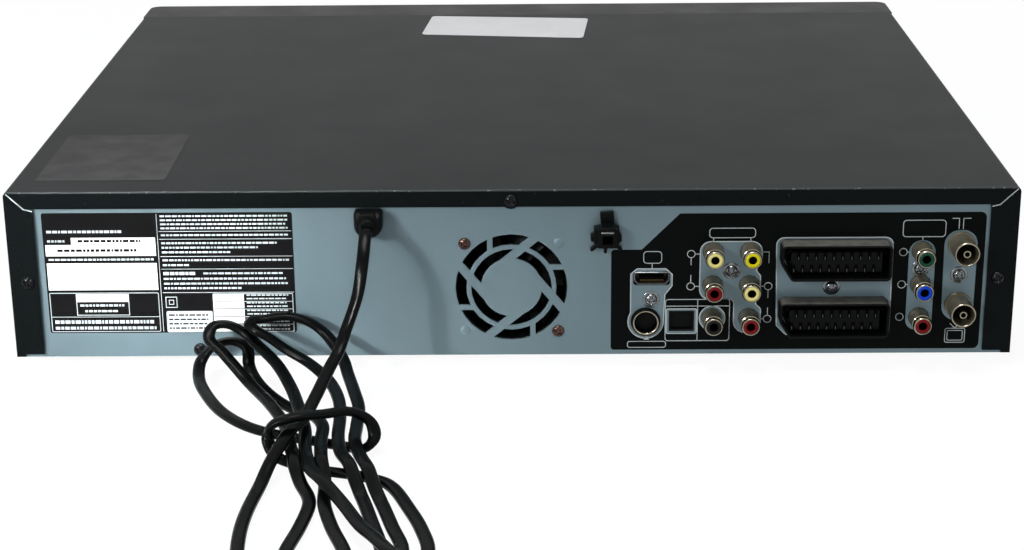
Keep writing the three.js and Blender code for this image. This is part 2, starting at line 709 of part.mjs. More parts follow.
const transformer = {
  inset: 56, y: -60, core: [36, 30], height: 27, winding: [26, 42], windingHeight: 19,
};
const transformerPlace = [powerBoard.x[0] + transformer.inset, transformer.y];
const heatSinkInset = 10;
const heatSinkLength = 56;
const heatSinkEnd = powerBoard.x[1] - heatSinkInset;
const heatSink = {
  x: [heatSinkEnd - heatSinkLength, heatSinkEnd], y: [-100, -84], height: 36, web: 3, fins: 6,
  fin: 2,
};
const mainCanInset = 18;
const mainCan = { radius: 11, height: 34, place: [powerBoard.x[0] + mainCanInset, -98] };
const filter = { size: [18, 12], height: 15, pitch: 26, y: -22 };
filter.places = [1, 2, 3].map((i) => [powerBoard.x[0] + i * filter.pitch, filter.y]);

function makePowerBoard() {
  const { x, y } = powerBoard;
  return join(block(x, y, [boardLow, boardTop]),
    rod('z', mainCan.radius, [boardLow, boardTop + mainCan.height], mainCan.place, 16),
    ...filter.places.map(([a, b]) => block(span(a, filter.size[0]), span(b, filter.size[1]),
      [boardLow, boardTop + filter.height])));
}

function makeTransformer() {
  const [x, y] = transformerPlace;
  const { core, height, winding, windingHeight } = transformer;
  const low = (height - windingHeight) / 2;
  return join(
    block(span(x, core[0]), span(y, core[1]), [onBoard, onBoard + height]),
    block(span(x, winding[0]), span(y, winding[1]), [onBoard + low, onBoard + low + windingHeight]));
}

function makeHeatSink() {
  const { x, y, height, web, fins, fin } = heatSink;
  const pitch = (x[1] - x[0] - fin) / (fins - 1);
  const parts = [block(x, [y[0], y[0] + web], [onBoard, onBoard + height])];
  for (let i = 0; i < fins; i += 1) {
    const low = x[0] + i * pitch;
    parts.push(block([low, low + fin], y, [onBoard, onBoard + height]));
  }
  return join(...parts);
}

piece(player, 'main_board', makeMainBoard(), boardGreen);
piece(player, 'power_board', makePowerBoard(), boardBrown);
piece(player, 'power_transformer', makeTransformer(), ferrite);
piece(player, 'heat_sink', makeHeatSink(), aluminium);

// Front panel: a moulded bezel with openings for the door, tray, window and buttons
const bezelDrop = 1;
const bezelCorner = 6;
const bezelSide = 2.5;
const bezelTop = coverHeight - gap;
const skirtWall = 2;
const doorOverlap = 1.5;
const tapeDoor = {
  x: span(deck.x, 2 * (cassette.halfWidth + doorOverlap)), z: [38, 70], thickness: 3.2,
  pin: 1, pinReach: 3,
};
const doorAxis = {
  y: flushFront + tapeDoor.thickness / 2, z: tapeDoor.z[1] - tapeDoor.thickness / 2,
};
const trayFrontInset = 1;
const trayFront = {
  halfWidth: drive.halfWidth - trayFrontInset, z: [20, 40], thickness: 3, corner: 1.5,
};
const windowReach = { left: 66, right: 49 };
const windowLens = {
  x: [drive.x - windowReach.left, drive.x + windowReach.right], z: [50, 66], corner: 2, lip: 1.5,
};
const button = { halfWidth: 9, halfHeight: 3, travel: 1, flange: 1.5, rim: 1.2, stem: 1.5 };
const powerRadius = 7;
const buttonRow = 20;
const fromPowerSide = { power: 25, eject: 65, stop: 111, play: 135, record: 159 };
const buttonPlaces = {
  tape_eject_button: [socketSide + fromPowerSide.eject, buttonRow],
  stop_button: [socketSide + fromPowerSide.stop, buttonRow],
  play_button: [socketSide + fromPowerSide.play, buttonRow],
  record_button: [socketSide + fromPowerSide.record, buttonRow],
  disc_eject_button: [caseWidth / 2 - fromPowerSide.power, 34],
};
const powerPlace = [socketSide + fromPowerSide.power, buttonRow];
const frontBoardSetback = 12.5;
const frontBoardFace = bezelFront + frontBoardSetback;
const switchHeight = 4.3;
const bossRadius = 2.5;
const bossRows = { low: 10, middle: 58, high: 62 };
const riserFromDoor = { near: 10, far: 24 };
const riser = [tapeDoor.x[1] + riserFromDoor.near, tapeDoor.x[1] + riserFromDoor.far];
const bossInset = { doorLeft: 32, doorRight: 20, riser: 6, side: 16 };
const bossFromDrive = 64;
const bossPlaces = [
  [tapeDoor.x[0] + bossInset.doorLeft, bossRows.low],
  [tapeDoor.x[1] - bossInset.doorRight, bossRows.low],
  [riser[1] - bossInset.riser, bossRows.middle], [drive.x + bossFromDrive, bossRows.middle],
  [caseWidth / 2 - bossInset.side, bossRows.high],
];
const lugWidth = 4;
const lugDepth = 6;

function buttonOutline(margin) {
  const width = 2 * (button.halfWidth + margin);
  const height = 2 * (button.halfHeight + margin);
  return roundedOutline(span(0, width), span(0, height), button.halfHeight / 2);
}

const buttonCornerSteps = 2;

function makeBezel() {
  const half = caseWidth / 2;
  const plan = roundedOutline([-half, half], [bezelFront, bezelBack],
    [bezelCorner, bezelCorner, 0, 0]);
  const hollow = block([bezelSide - half, half - bezelSide], [wallBack, bezelBack + overrun],
    [bezelSide - bezelDrop, bezelTop - bezelSide]);
  const skirtSpan = [bezelBack - mouldedWall, coverFront + skirtDepth];
  const skirtLow = chassisSheet + gap;
  const skirt = cut(block([-insideX, insideX], skirtSpan, [skirtLow, insideTop]),
    block([skirtWall - insideX, insideX - skirtWall], [skirtSpan[0] - overrun, skirtSpan[1] + overrun],
      [skirtLow + skirtWall, insideTop - skirtWall]));
  const lugs = tapeDoor.x.map((x, i) => {
    const ends = i ? [x + slack, x + slack + lugWidth] : [x - slack - lugWidth, x - slack];
    return block(ends, [bezelFront + slack, bezelFront + lugDepth], span(doorAxis.z, 3 * lugWidth / 2));
  });
  const bosses = bossPlaces.map((p) => rod('y', bossRadius, [wallBack - gap, frontBoardFace - gap],
    p, 6));
  const body = join(cut(level(plan, [-bezelDrop, bezelTop]), hollow), skirt, ...bosses);
  const through = [bezelFront - overrun, wallBack + overrun];
  const openings = [
    block([tapeDoor.x[0] - slack, tapeDoor.x[1] + slack], through,
      [tapeDoor.z[0] - slack, tapeDoor.z[1] + slack]),
    block(span(drive.x, 2 * (trayFront.halfWidth + slack)), through,
      [trayFront.z[0] - slack, trayFront.z[1] + slack]),
    block([windowLens.x[0] - gap, windowLens.x[1] + gap], through,
      [windowLens.z[0] - gap, windowLens.z[1] + gap]),
    rod('y', powerRadius + slack, through, powerPlace, 20),
  ];
  const buttonHole = upright(buttonOutline(slack), through, buttonCornerSteps);
  for (const [x, z] of Object.values(buttonPlaces)) openings.push(buttonHole.translate([x, 0, z]));
  const pinHole = rod('x', tapeDoor.pin + gap, [tapeDoor.x[0] - slack - tapeDoor.pinReach - gap,
    tapeDoor.x[1] + slack + tapeDoor.pinReach + gap], [doorAxis.y, doorAxis.z], 12);
  return cut(cut(body, ...openings).add(join(...lugs)), pinHole);
}

function makeTapeDoor() {
  const { x, z, thickness, pin, pinReach } = tapeDoor;
  return join(
    block(x, [flushFront, flushFront + thickness], [z[0], doorAxis.z]),
    rod('x', thickness / 2, x, [doorAxis.y, doorAxis.z], 16),
    rod('x', pin, [x[0] - pinReach, x[1] + pinReach], [doorAxis.y, doorAxis.z], 12));
}

function makeWindow() {
  const { x, z, corner, lip } = windowLens;
  return join(upright(roundedOutline(x, z, corner), [flushFront, wallBack + gap]),
    block([x[0] - lip, x[1] + lip], [wallBack + gap, wallBack + gap + lip],
      [z[0] - lip, z[1] + lip]));
}

// A button: its cap shows in the bezel, its rim holds it in and its stem meets a switch
function makeButton(cap, rim) {
  const rimLow = wallBack + gap;
  const stemEnd = frontBoardFace - switchHeight - button.travel - gap;
  return join(cap, rim, rod('y', button.stem, [rimLow, stemEnd], [0, 0], 6));
}

function barButton() {
  const rimLow = wallBack + gap;
  return makeButton(upright(buttonOutline(0), [flushFront, rimLow + gap], buttonCornerSteps),
    upright(buttonOutline(button.rim), [rimLow, rimLow + button.flange], buttonCornerSteps));
}

function roundButton() {
  const rimLow = wallBack + gap;
  return makeButton(rod('y', powerRadius, [flushFront, rimLow + gap], [0, 0], 20),
    rod('y', powerRadius + button.rim, [rimLow, rimLow + button.flange], [0, 0], 20));
}

// The front board is one tall zigzag round the tape door and the tray
const frontBoardRow = { low: 6, high: 32 };
const frontBoardTop = { low: 46, high: 70 };
const ejectTabInset = { inner: 39, outer: 10 };
const ejectTab = {
  x: [caseWidth / 2 - ejectTabInset.inner, caseWidth / 2 - ejectTabInset.outer], low: 24,
};
const frontBoardInset = 10;
const frontBoardLeft = socketSide + frontBoardInset;

function makeFrontBoard() {
  const shape = outlineOf([
    [frontBoardLeft, frontBoardRow.low], [riser[1], frontBoardRow.low],
    [riser[1], frontBoardTop.low], [ejectTab.x[0], frontBoardTop.low],
    [ejectTab.x[0], ejectTab.low], [ejectTab.x[1], ejectTab.low],
    [ejectTab.x[1], frontBoardTop.high], [riser[0], frontBoardTop.high],
    [riser[0], frontBoardRow.high], [frontBoardLeft, frontBoardRow.high],
  ]);
  const face = frontBoardFace;
  const displayInset = 2;
  const { x, z } = windowLens;
  const display = block([x[0] + displayInset, x[1] - displayInset], [face - switchHeight, face + gap],
    [z[0] + displayInset, z[1] - displayInset]);
  const switches = [powerPlace, ...Object.values(buttonPlaces)].map(([a, b]) =>
    block(span(a, 2 * button.halfHeight), [face - switchHeight, face + gap],
      span(b, 2 * button.halfHeight)));
  return join(upright(shape, [face, face + boardThickness]), display, ...switches);
}

piece(player, 'front_bezel', makeBezel(), blackPlastic);
piece(player, 'display_window', makeWindow(), smokedLens);
piece(player, 'tape_door', makeTapeDoor(), blackPlastic);
piece(player, 'front_board', makeFrontBoard(), boardGreen);
for (const [name, [x, z]] of Object.entries(buttonPlaces)) {
  piece(player, name, barButton(), greyPlastic, [x, 0, z]);
}
piece(player, 'power_button', roundButton(), greyPlastic, [powerPlace[0], 0, powerPlace[1]]);

// Disc drive: y runs back from the front of its base, z up from its underside
const discDrive = new THREE.Group();
discDrive.position.set(drive.x, drive.front, drive.low);
player.add(discDrive);
const driveWall = 2;
const driveHeight = 28;
const trayLow = 16.3;
const trayThickness = 6;
const traySideGap = 0.5;
const trayRearGap = 24;
const tray = {
  halfWidth: drive.halfWidth - driveWall - traySideGap, rear: drive.depth - trayRearGap,
  dish: 60.5, dishDepth: 2.2,
  smallDish: 41, smallDepth: 1,
};
const discCentre = 56;
const traySlot = { halfWidth: 19, front: 20, rear: 64 };
const ledge = { width: 6, thickness: 2 };
const hook = { y: [30, 40], reach: 9.5, thickness: 2 };
const trayStart = flushFront + trayFront.thickness + gap - drive.front;
const turntable = { radius: 15, thickness: 3, hub: 7, top: 15.9, motor: 13, motorTop: 10.6, shaft: 1 };
const guide = { x: 24, z: 8, radius: 1.5, bore: 1.8, y: [68, 134], block: 3 };
const sled = { halfWidth: 29, length: 20, front: 74, z: [4.2, 12.6], lens: 3, lensTop: 14.8 };
const bridge = { y: [44, 68], thickness: 1.5, puck: 14, puckLow: 23.2 };

// Rack and pinion that drive the tray, with stub teeth
const gear = { teeth: 12, module: 1, tip: 0.8, root: 1.05, halfTooth: 0.6, slope: 0.36, width: 3 };
const gearRadius = (gear.teeth * gear.module) / 2;
const gearPitch = Math.PI * gear.module;
const pinion = { y: 14, low: 12.6, post: 2, bore: 2.3 };
const rackLine = 48;
const rackBack = 4;
const pinionX = rackLine + gearRadius;

function toothOutline(place, side) {
  const { tip, root, halfTooth, slope } = gear;
  return [[-root, -(halfTooth + root * slope)], [tip, -(halfTooth - tip * slope)],
    [tip, halfTooth - tip * slope], [-root, halfTooth + root * slope]]
    .map(([out, along]) => place(side * out, along));
}

function makeRack() {
  const rackEnd = tray.rear - ledge.width;
  const teeth = Math.floor((rackEnd - trayStart) / gearPitch) - 1;
  const z = [pinion.low, trayLow + gap];
  const parts = [block([rackLine - rackBack, rackLine - gear.root + gap / 2],
    [trayStart + gearPitch / 2, rackEnd], z)];
  const first = pinion.y - Math.floor((pinion.y - trayStart - gearPitch) / gearPitch) * gearPitch;
  for (let i = 0; i < teeth; i += 1) {
    const y = first + i * gearPitch;
    parts.push(level(outlineOf(toothOutline((out, along) => [rackLine + out, y + along], 1)), z));
  }
  return join(...parts);
}

function makePinion() {
  const z = [0, gear.width];
  const parts = [rod('z', gearRadius - gear.root + gap / 2, z, [0, 0], 2 * gear.teeth)];
  for (let i = 0; i < gear.teeth; i += 1) {
    // A space, not a tooth, faces the rack at the pitch point
    const turn = Math.PI + ((i + 0.5) * 2 * Math.PI) / gear.teeth;
    const tooth = level(outlineOf(toothOutline(
      (out, along) => [gearRadius + out, along], 1)), z);
    parts.push(tooth.rotate([0, 0, THREE.MathUtils.radToDeg(turn)]));
  }
  return cut(join(...parts), rod('z', pinion.bore, [-overrun, gear.width + overrun], [0, 0], 10));
}

function makeTray() {
  const { halfWidth, rear, dish, dishDepth, smallDish, smallDepth } = tray;
  const top = trayLow + trayThickness;
  const body = block([-halfWidth, halfWidth], [trayStart, rear], [trayLow, top]);
  const centre = [0, discCentre];
  return cut(body.add(makeRack()),
    rod('z', dish, [top - dishDepth, top + overrun], centre, 40),
    rod('z', smallDish, [top - dishDepth - smallDepth, top + overrun], centre, 24),
    block([-traySlot.halfWidth, traySlot.halfWidth],
      [discCentre - traySlot.front, discCentre + traySlot.rear], [trayLow - overrun, top + overrun]));
}

function makeTrayFront() {
  const { halfWidth, z, thickness, corner } = trayFront;
  return upright(roundedOutline([-halfWidth, halfWidth], z.map((h) => h - drive.low), corner),
    [flushFront - drive.front, flushFront - drive.front + thickness]);
}

function makeLoaderBase() {
  const half = drive.halfWidth;
  const depth = [0, drive.depth];
  const parts = [
    block([-half, half], depth, [0, driveWall]),
    block([-half, half], [drive.depth - driveWall, drive.depth], [0, driveHeight]),
    rod('z', pinion.post, [0, pinion.low + gear.width], [pinionX, pinion.y], 12),
    rod('z', pinion.post + 2 * slack, [0, pinion.low - gap], [pinionX, pinion.y], 12),
  ];
  for (const side of [-1, 1]) {
    const reach = (from, to) => [side * from, side * to].sort((a, b) => a - b);
    parts.push(
      block(reach(half - driveWall, half), depth, [0, driveHeight]),
      block(reach(half - driveWall - ledge.width, half), depth,
        [trayLow - gap - ledge.thickness, trayLow - gap]),
      block(reach(half - hook.reach, half), hook.y, [trayLow + trayThickness + slack,
        trayLow + trayThickness + slack + hook.thickness]),
    );
    for (const y of guide.y) {
      parts.push(block(span(side * guide.x, 2 * guide.block), span(y, guide.block),
        [0, guide.z + guide.block]));
    }
  }
  const bores = [-1, 1].map((side) => rod('y', guide.bore,
    [guide.y[0] - 2 * guide.block, guide.y[1] + 2 * guide.block], [side * guide.x, guide.z], 12));
  return cut(join(...parts), ...bores);
}

function makeGuideRod() {
  return rod('y', guide.radius, guide.y, [0, guide.z], 12);
}

function makeSpindleMotor() {
  return join(rod('z', turntable.motor, [driveWall + gap, turntable.motorTop], [0, discCentre]),
    rod('z', turntable.shaft, [driveWall + gap, turntable.top - turntable.thickness],
      [0, discCentre], 12));
}

function makeTurntable() {
  const low = turntable.motorTop + gap;
  const bore = rod('z', turntable.shaft + gap,
    [low - overrun, turntable.top - turntable.thickness + gap], [0, 0], 12);
  return cut(join(rod('z', turntable.radius, [low, low + turntable.thickness - gap], [0, 0]),
    rod('z', turntable.hub, [low, turntable.top], [0, 0], 20)), bore);
}

function makeSled() {
  const { halfWidth, length, front, z, lens, lensTop } = sled;
  const lensPlace = [0, front + length / 2];
  const body = block([-halfWidth, halfWidth], [front, front + length], z);
  const bores = [-1, 1].map((side) => rod('y', guide.bore, [front - overrun,
    front + length + overrun], [side * guide.x, guide.z], 12));
  return cut(body.add(rod('z', lens, [z[0], lensTop], lensPlace, 16)), ...bores);
}

function makeBridge() {
  const low = driveHeight + gap;
  const half = drive.halfWidth;
  return join(block([-half, half], bridge.y, [low, low + bridge.thickness]),
    rod('z', bridge.puck, [bridge.puckLow, low + gap], [0, discCentre]));
}

piece(discDrive, 'loader_base', makeLoaderBase(), blackPlastic);
piece(discDrive, 'disc_tray', makeTray(), greyPlastic);
piece(discDrive, 'tray_front', makeTrayFront(), blackPlastic);
piece(discDrive, 'tray_pinion', makePinion(), whitePlastic, [pinionX, pinion.y, pinion.low]);
piece(discDrive, 'spindle_motor', makeSpindleMotor(), steel);
piece(discDrive, 'turntable', makeTurntable(), blackPlastic, [0, discCentre, 0]);
piece(discDrive, 'pickup_sled', makeSled(), blackPlastic);
piece(discDrive, 'sled_rail', makeGuideRod(), steel, [-guide.x, 0, 0]);
piece(discDrive, 'sled_screw', makeGuideRod(), steel, [guide.x, 0, 0]);
piece(discDrive, 'clamp_bridge', makeBridge(), steel);

// Tape deck: y runs back from where the cassette waits, z from the cover's lower edge
const tapeDeck = new THREE.Group();
tapeDeck.position.set(deck.x, deck.front, 0);
player.add(tapeDeck);
const deckSheet = 1.6;
const deckTop = deck.low + deckSheet;
const sledge = {
  inner: sledgeInner, outer: sledgeInner + sledgeSheet, y: [4, 104], z: [40, 70],
  bar: [44, 60], barSheet: 1.2,
};
const bracket = {
  inner: bracketInner, outer: bracketInner + bracketSheet, y: [-2, 152], top: 70.8,
};
const guidePin = { radius: 1.5, y: [22, 88], sledgeZ: 66, holderZ: 60 };
const inwardTravel = 40;
const dropTravel = 14;
const drum = { radius: 31, y: 180, baseTop: 29.4, top: 44.5, shaft: 3, shaftTop: 42 };
const capstan = { place: [52, 158], radius: 2, top: 52, flywheel: 26, z: [9, 14], low: 8 };
const bearing = { bore: 2.3, top: 24 };
const armPivot = [76, 150];
const arm = {
  length: 21.9, rest: 2.0612, boss: 4, eye: 3, bore: 2.3, post: 2, z: [32, 36], postTop: 40,
};
const roller = { radius: 6, bore: 1.8, pin: 1.5, pinTop: 49, z: [36.6, 50] };
const reel = { x: 46, y: 100, base: 20, hub: 5, baseTop: 21.5, hubTop: 33, pin: 1.5, bore: 1.8 };

function makeDeckChassis() {
  const rear = deck.rear;
  const half = deck.halfWidth;
  const parts = [block([-half, half], [bracket.y[0], rear], [deck.low, deckTop])];
  const slots = [];
  for (const side of [-1, 1]) {
    const ends = [side * bracket.inner, side * bracket.outer].sort((a, b) => a - b);
    parts.push(block(ends, bracket.y, [deck.low, bracket.top]));
    const slotEnds = [side * (bracket.inner - overrun / 4), side * (bracket.outer + overrun)];
    slots.push(block(slotEnds.sort((a, b) => a - b),
      [guidePin.y[0] - guidePin.radius - gap, guidePin.y[1] + inwardTravel + guidePin.radius + gap],
      span(guidePin.sledgeZ, 2 * (guidePin.radius + gap))));
    parts.push(rod('z', reel.pin, [deck.low, reel.hubTop - 2 * reel.pin],
      [side * reel.x, reel.y], 12));
  }
  const tube = rod('z', bearingRadius, [deck.low, bearing.top], capstan.place, 16);
  const post = rod('z', arm.post, [deck.low, arm.postTop], armPivot, 12);
  const seat = rod('z', arm.boss, [deck.low, arm.z[0] - gap], armPivot, 12);
  const bore = rod('z', bearing.bore, [deck.low - overrun, bearing.top + overrun], capstan.place, 12);
  return cut(join(...parts, tube, post, seat), ...slots, bore);
}

function makeHolder() {
  const { wall, ledge: ledgeWidth, gateTop, front } = holder;
  const depth = [front, front + cassette.depth];
  const outer = holderOuter;
  const inner = outer - wall;
  const parts = [block([-outer, outer], depth, [gateTop - wall, gateTop])];
  for (const side of [-1, 1]) {
    const reach = (from, to) => [side * from, side * to].sort((a, b) => a - b);
    parts.push(
      block(reach(inner, outer), depth, [cassette.floor - wall, gateTop]),
      block(reach(outer - ledgeWidth, outer), depth, [cassette.floor - wall, cassette.floor]));
    for (const y of guidePin.y) {
      parts.push(rod('x', guidePin.radius, reach(outer - wall / 2, sledge.outer - gap),
        [y, guidePin.holderZ], 10));
    }
  }
  return join(...parts);
}

function makeSledge() {
  const { inner, outer, y, z, bar, barSheet } = sledge;
  const parts = [block([-outer, outer], bar, [z[1] - barSheet, z[1]])];
  const slots = [];
  for (const side of [-1, 1]) {
    const reach = (from, to) => [side * from, side * to].sort((a, b) => a - b);
    parts.push(block(reach(inner, outer), y, z));
    for (const place of guidePin.y) {
      parts.push(rod('x', guidePin.radius, reach(outer - barSheet, bracket.outer - gap),
        [place, guidePin.sledgeZ], 10));
      slots.push(block(reach(inner - overrun / 2, outer + gap / 2),
        span(place, 2 * (guidePin.radius + gap)),
        [guidePin.holderZ - dropTravel - guidePin.radius - gap,
          guidePin.holderZ + guidePin.radius + gap]));
    }
  }
  return cut(join(...parts), ...slots);
}

function makeDrumBase() {
  return join(rod('z', drum.radius, [deckTop + gap, drum.baseTop], [0, 0], 28),
    rod('z', drum.shaft, [deckTop + gap, drum.shaftTop], [0, 0], 12));
}

function makeDrumRotor() {
  const low = drum.baseTop + gap;
  const rim = 1;
  return cut(turned('z', [[0, low], [drum.radius, low], [drum.radius, drum.top - rim],
    [drum.radius - rim, drum.top], [0, drum.top]], [0, 0, 0], 28),
  rod('z', drum.shaft + gap, [low - overrun, drum.shaftTop + gap], [0, 0], 12));
}

function makeCapstan() {
  return join(rod('z', capstan.radius, [capstan.low, capstan.top], [0, 0], 12),
    rod('z', capstan.flywheel, capstan.z, [0, 0], 24));
}

function makePinchArm() {
  const tip = [arm.length * Math.cos(arm.rest), arm.length * Math.sin(arm.rest)];
  const bar = new THREE.BoxGeometry(arm.length, arm.boss, arm.z[1] - arm.z[0]);
  bar.translate(arm.length / 2, 0, (arm.z[0] + arm.z[1]) / 2);
  bar.rotateZ(arm.rest);
  return cut(join(toSolid(bar), rod('z', arm.boss, arm.z, [0, 0], 16),
    rod('z', arm.eye, arm.z, tip, 12), rod('z', roller.pin, [arm.z[0], roller.pinTop], tip, 12)),
  rod('z', arm.bore, [arm.z[0] - overrun, arm.z[1] + overrun], [0, 0], 12));
}

function makePinchRoller() {
  return cut(rod('z', roller.radius, roller.z, [0, 0], 16),
    rod('z', roller.bore, [roller.z[0] - overrun, roller.z[1] - roller.pin / 2], [0, 0], 12));
}

function makeReel() {
  const low = deckTop + gap;
  return cut(join(rod('z', reel.base, [low, reel.baseTop], [0, 0]),
    rod('z', reel.hub, [low, reel.hubTop], [0, 0], 12)),
  rod('z', reel.bore, [low - overrun, reel.hubTop - 2 * reel.pin + gap], [0, 0], 12));
}

const rollerPlace = [armPivot[0] + arm.length * Math.cos(arm.rest),
  armPivot[1] + arm.length * Math.sin(arm.rest), 0];
piece(tapeDeck, 'deck_chassis', makeDeckChassis(), zincSheet);
piece(tapeDeck, 'carriage_sledge', makeSledge(), steel);
piece(tapeDeck, 'cassette_holder', makeHolder(), zincSheet);
piece(tapeDeck, 'drum_base', makeDrumBase(), aluminium, [0, drum.y, 0]);
piece(tapeDeck, 'drum_rotor', makeDrumRotor(), aluminium, [0, drum.y, 0]);
piece(tapeDeck, 'capstan', makeCapstan(), steel, [...capstan.place, 0]);
piece(tapeDeck, 'pinch_arm', makePinchArm(), steel, [...armPivot, 0]);
piece(tapeDeck, 'pinch_roller', makePinchRoller(), rubber, rollerPlace);
piece(tapeDeck, 'supply_reel', makeReel(), whitePlastic, [-reel.x, reel.y, 0]);
piece(tapeDeck, 'take_up_reel', makeReel(), whitePlastic, [reel.x, reel.y, 0]);

// Grommet and clip on the rear panel
const grommetTail = { length: 10, radius: 3 };

function makeGrommet() {
  const { width, height, reach, taper } = grommetHead;
  const [x, z] = grommetPlace;
  const bottom = width / 2;
  const low = z - height / 2;
  const shape = (margin) => roundedOutline(span(x, width - 2 * margin),
    [low + margin, low + height - margin], [bottom - margin - gap, bottom - margin - gap, 1, 1]);
  const seat = panelFace + gap;
  const neckEnd = behindPanel - gap;
  const tail = turned('y', [[0, neckEnd - grommetTail.length],
    [grommetTail.radius, neckEnd - grommetTail.length],
    [grommetNeck, neckEnd], [grommetNeck, seat + gap], [0, seat + gap]], [x, 0, z], 12);
  return join(upright(shape(0), [seat, reach - taper]), upright(shape(taper), [seat, reach]), tail);
}

const clipBody = { width: 8.5, height: 8, reach: 8 };
const clipStrap = { width: 6, height: 7, reach: 9.5, thickness: 1.6 };
const clipWing = { width: 13, height: 3.2, reach: 3 };
const clipLeg = { length: 5, width: 1.6 };

function makeClip() {
  const [x, z] = clipPlace;
  const seat = panelFace + gap;
  const top = z + clipBody.height / 2;
  const low = z - clipBody.height / 2;
  const legs = [-1, 0, 1].map((i) => slantedBlock(2 * clipLeg.length, clipLeg.width,
    [seat, seat + clipWing.reach], [x + i * clipLeg.length / 2, low],
    Math.PI / 2 + i * Math.PI / 5));
  return join(
    cut(block(span(x, clipBody.width), [seat, clipBody.reach], [low, top]),
      block(span(x, clipBody.width / 2), [seat + clipBody.reach / 2, clipBody.reach + overrun],
        [low + clipStrap.thickness, top - clipStrap.thickness])),
    block(span(x, clipStrap.width), [seat, seat + clipStrap.thickness], [z, top + clipStrap.height]),
    block(span(x, clipStrap.width), [seat, clipStrap.reach],
      [top - clipStrap.thickness, top]),
    block(span(x, clipWing.width), [seat, seat + clipWing.reach], [low, low + clipWing.height]),
    rod('y', clipPin, [behindPanel - clipPin, seat + gap], clipPlace, 10), ...legs);
}

piece(player, 'cord_grommet', makeGrommet(), blackPlastic);
piece(player, 'cable_clip', makeClip(), blackPlastic);

// Mains lead: a fixed cord that drops from the grommet and ends folded into a tied bundle.
// Its points are measured from the centre line, the rear face and the floor.
const cord = { radius: 2.1, sides: 6, leadSides: 8, leadSteps: 2, gapSamples: 6, bendsApart: 4 };
const leadRoute = [
  [60.2, 8.3, 66.5], [60.6, 14, 66], [61.3, 24, 57.5], [63.4, 30, 44.5], [68.2, 35, 31.1],
  [71.2, 42, 23.7], [73.9, 50, 20.5], [78, 68, 15.5], [81.5, 83, 12.2], [85, 95, 12.6],
  [88, 105, 11], [91.5, 115, 7], [94, 125, 3], [96.3, 145, 2.2], [96.8, 161.5, 2.2],
  [95.7, 180, 2.2], [93, 200, 2.2], [84, 216, 2.2], [70, 225, 2.2], [55, 225, 2.2],
];
// The far turn and the strand that starts the wrap round the bundle
const wrapRoute = [
  [48, 225, 2.2], [38, 216, 2.2], [31, 201, 2.2], [27.9, 180, 2.2], [31, 163, 2.2], [36, 147, 2.2],
  [45.5, 124, 2.2], [52.5, 118.5, 2.2], [60, 115, 2.2], [72, 111, 2.2], [84, 104.5, 2.2],
  [91.5, 99.5, 3.6], [94.2, 97, 8.4], [93, 96.5, 14.4], [85, 96.5, 18], [73, 92, 17.6],
  [62, 86.5, 16.2], [55, 86.5, 12], [53.3, 90, 6.8], [57, 91.5, 2.8], [66, 88, 2.2],
  [80, 82, 2.2],
];
// The widest loop on the floor, up to the rear panel and back
const lowLoop = [
  [92.5, 77, 2.2], [105.6, 68.8, 2.2], [118.1, 54.2, 2.2], [128.1, 33.8, 2.2],
  [133.4, 18, 3.5], [133.5, 8, 7.3], [128.3, 5, 12.6], [120.4, 5, 14.8], [113.8, 7, 12.4],
  [112.6, 12, 6.5], [107.4, 25.2, 4], [97.6, 42, 3], [85.5, 57.7, 3.5], [78, 70, 6.6],
  [74.5, 80, 7], [74, 92, 7], [73, 104, 7.1], [72, 112, 7], [70.5, 119, 4.4], [69.5, 126, 2.2],
  [68.4, 141, 2.2], [64, 160, 2.2], [57.7, 180, 2.2], [56, 191, 2.2], [52.5, 198.5, 2.2],
  [46.5, 200.5, 2.2], [40, 195.5, 2.2],
];
// The loop that stands highest against the panel, with a tight fold at its end
const highLoop = [
  [37.1, 180, 2.2], [42, 160, 2.2], [47.5, 139, 2.2], [50.5, 130, 4.2], [53.5, 120, 7.1],
  [57.5, 108, 7.1], [60.5, 95, 7.4], [61, 80, 7], [61.4, 63.3, 8], [64.6, 47.7, 9],
  [68.5, 31, 10], [71, 22, 12.5], [75, 14.5, 16], [80.5, 8, 20], [86.7, 6, 23.8],
  [94.8, 5, 26], [101, 5, 25.8], [106.5, 5.8, 25], [110.6, 7.4, 25.2], [111.4, 11, 24.8],
  [108.6, 14.4, 23.4], [103.5, 15.6, 20.8], [96, 17.6, 16], [85.7, 23, 11.8],
  [76.6, 34.2, 8.6], [70.5, 53.1, 7.5], [68.5, 70, 7], [67.5, 90, 7], [65.2, 105, 7.1],
  [61, 116, 7.1], [58.2, 125, 4.8], [55.2, 134, 2.2], [49.5, 157, 2.2], [44.4, 180, 2.2],
  [45, 188.5, 2.8], [49, 200.5, 7.7], [58, 208.5, 7.3], [68, 209.5, 7], [76, 202, 5.5],
];
// The last loop and the tail that ends in the plug
const lastLoop = [
  [79, 192, 3.2], [78.6, 180, 2.2], [75.5, 160, 2.2], [74, 142, 2.2], [75.2, 134, 2.2],
  [79, 124, 3], [82, 115, 5.8], [83.6, 107, 7.2], [85.6, 98, 7.1], [87.3, 88, 7.1],
  [90.9, 75, 7], [99, 54, 6.4], [110, 32.3, 6.6], [117, 25, 11.5], [123, 19.5, 16],
  [128.6, 14.5, 19.8], [127.4, 9.8, 23.4], [121.4, 8, 23.6], [114.4, 9, 20.3],
  [108.5, 14, 16.8], [99.1, 26.2, 13], [91.3, 44.4, 10.2], [86.8, 60, 9.3], [83.8, 72, 8],
  [81, 85, 7.2], [80, 96, 7.1], [78.6, 106, 7.1], [76.8, 114, 7.2], [75.2, 121, 7.3],
  [70, 131, 7.5], [61.5, 146, 5.6], [52.6, 168, 6.4], [47, 178.5, 7.2], [41.5, 190, 8],
  [33.5, 203, 7.6], [22, 211, 6.9], [8, 216, 6.9],
];
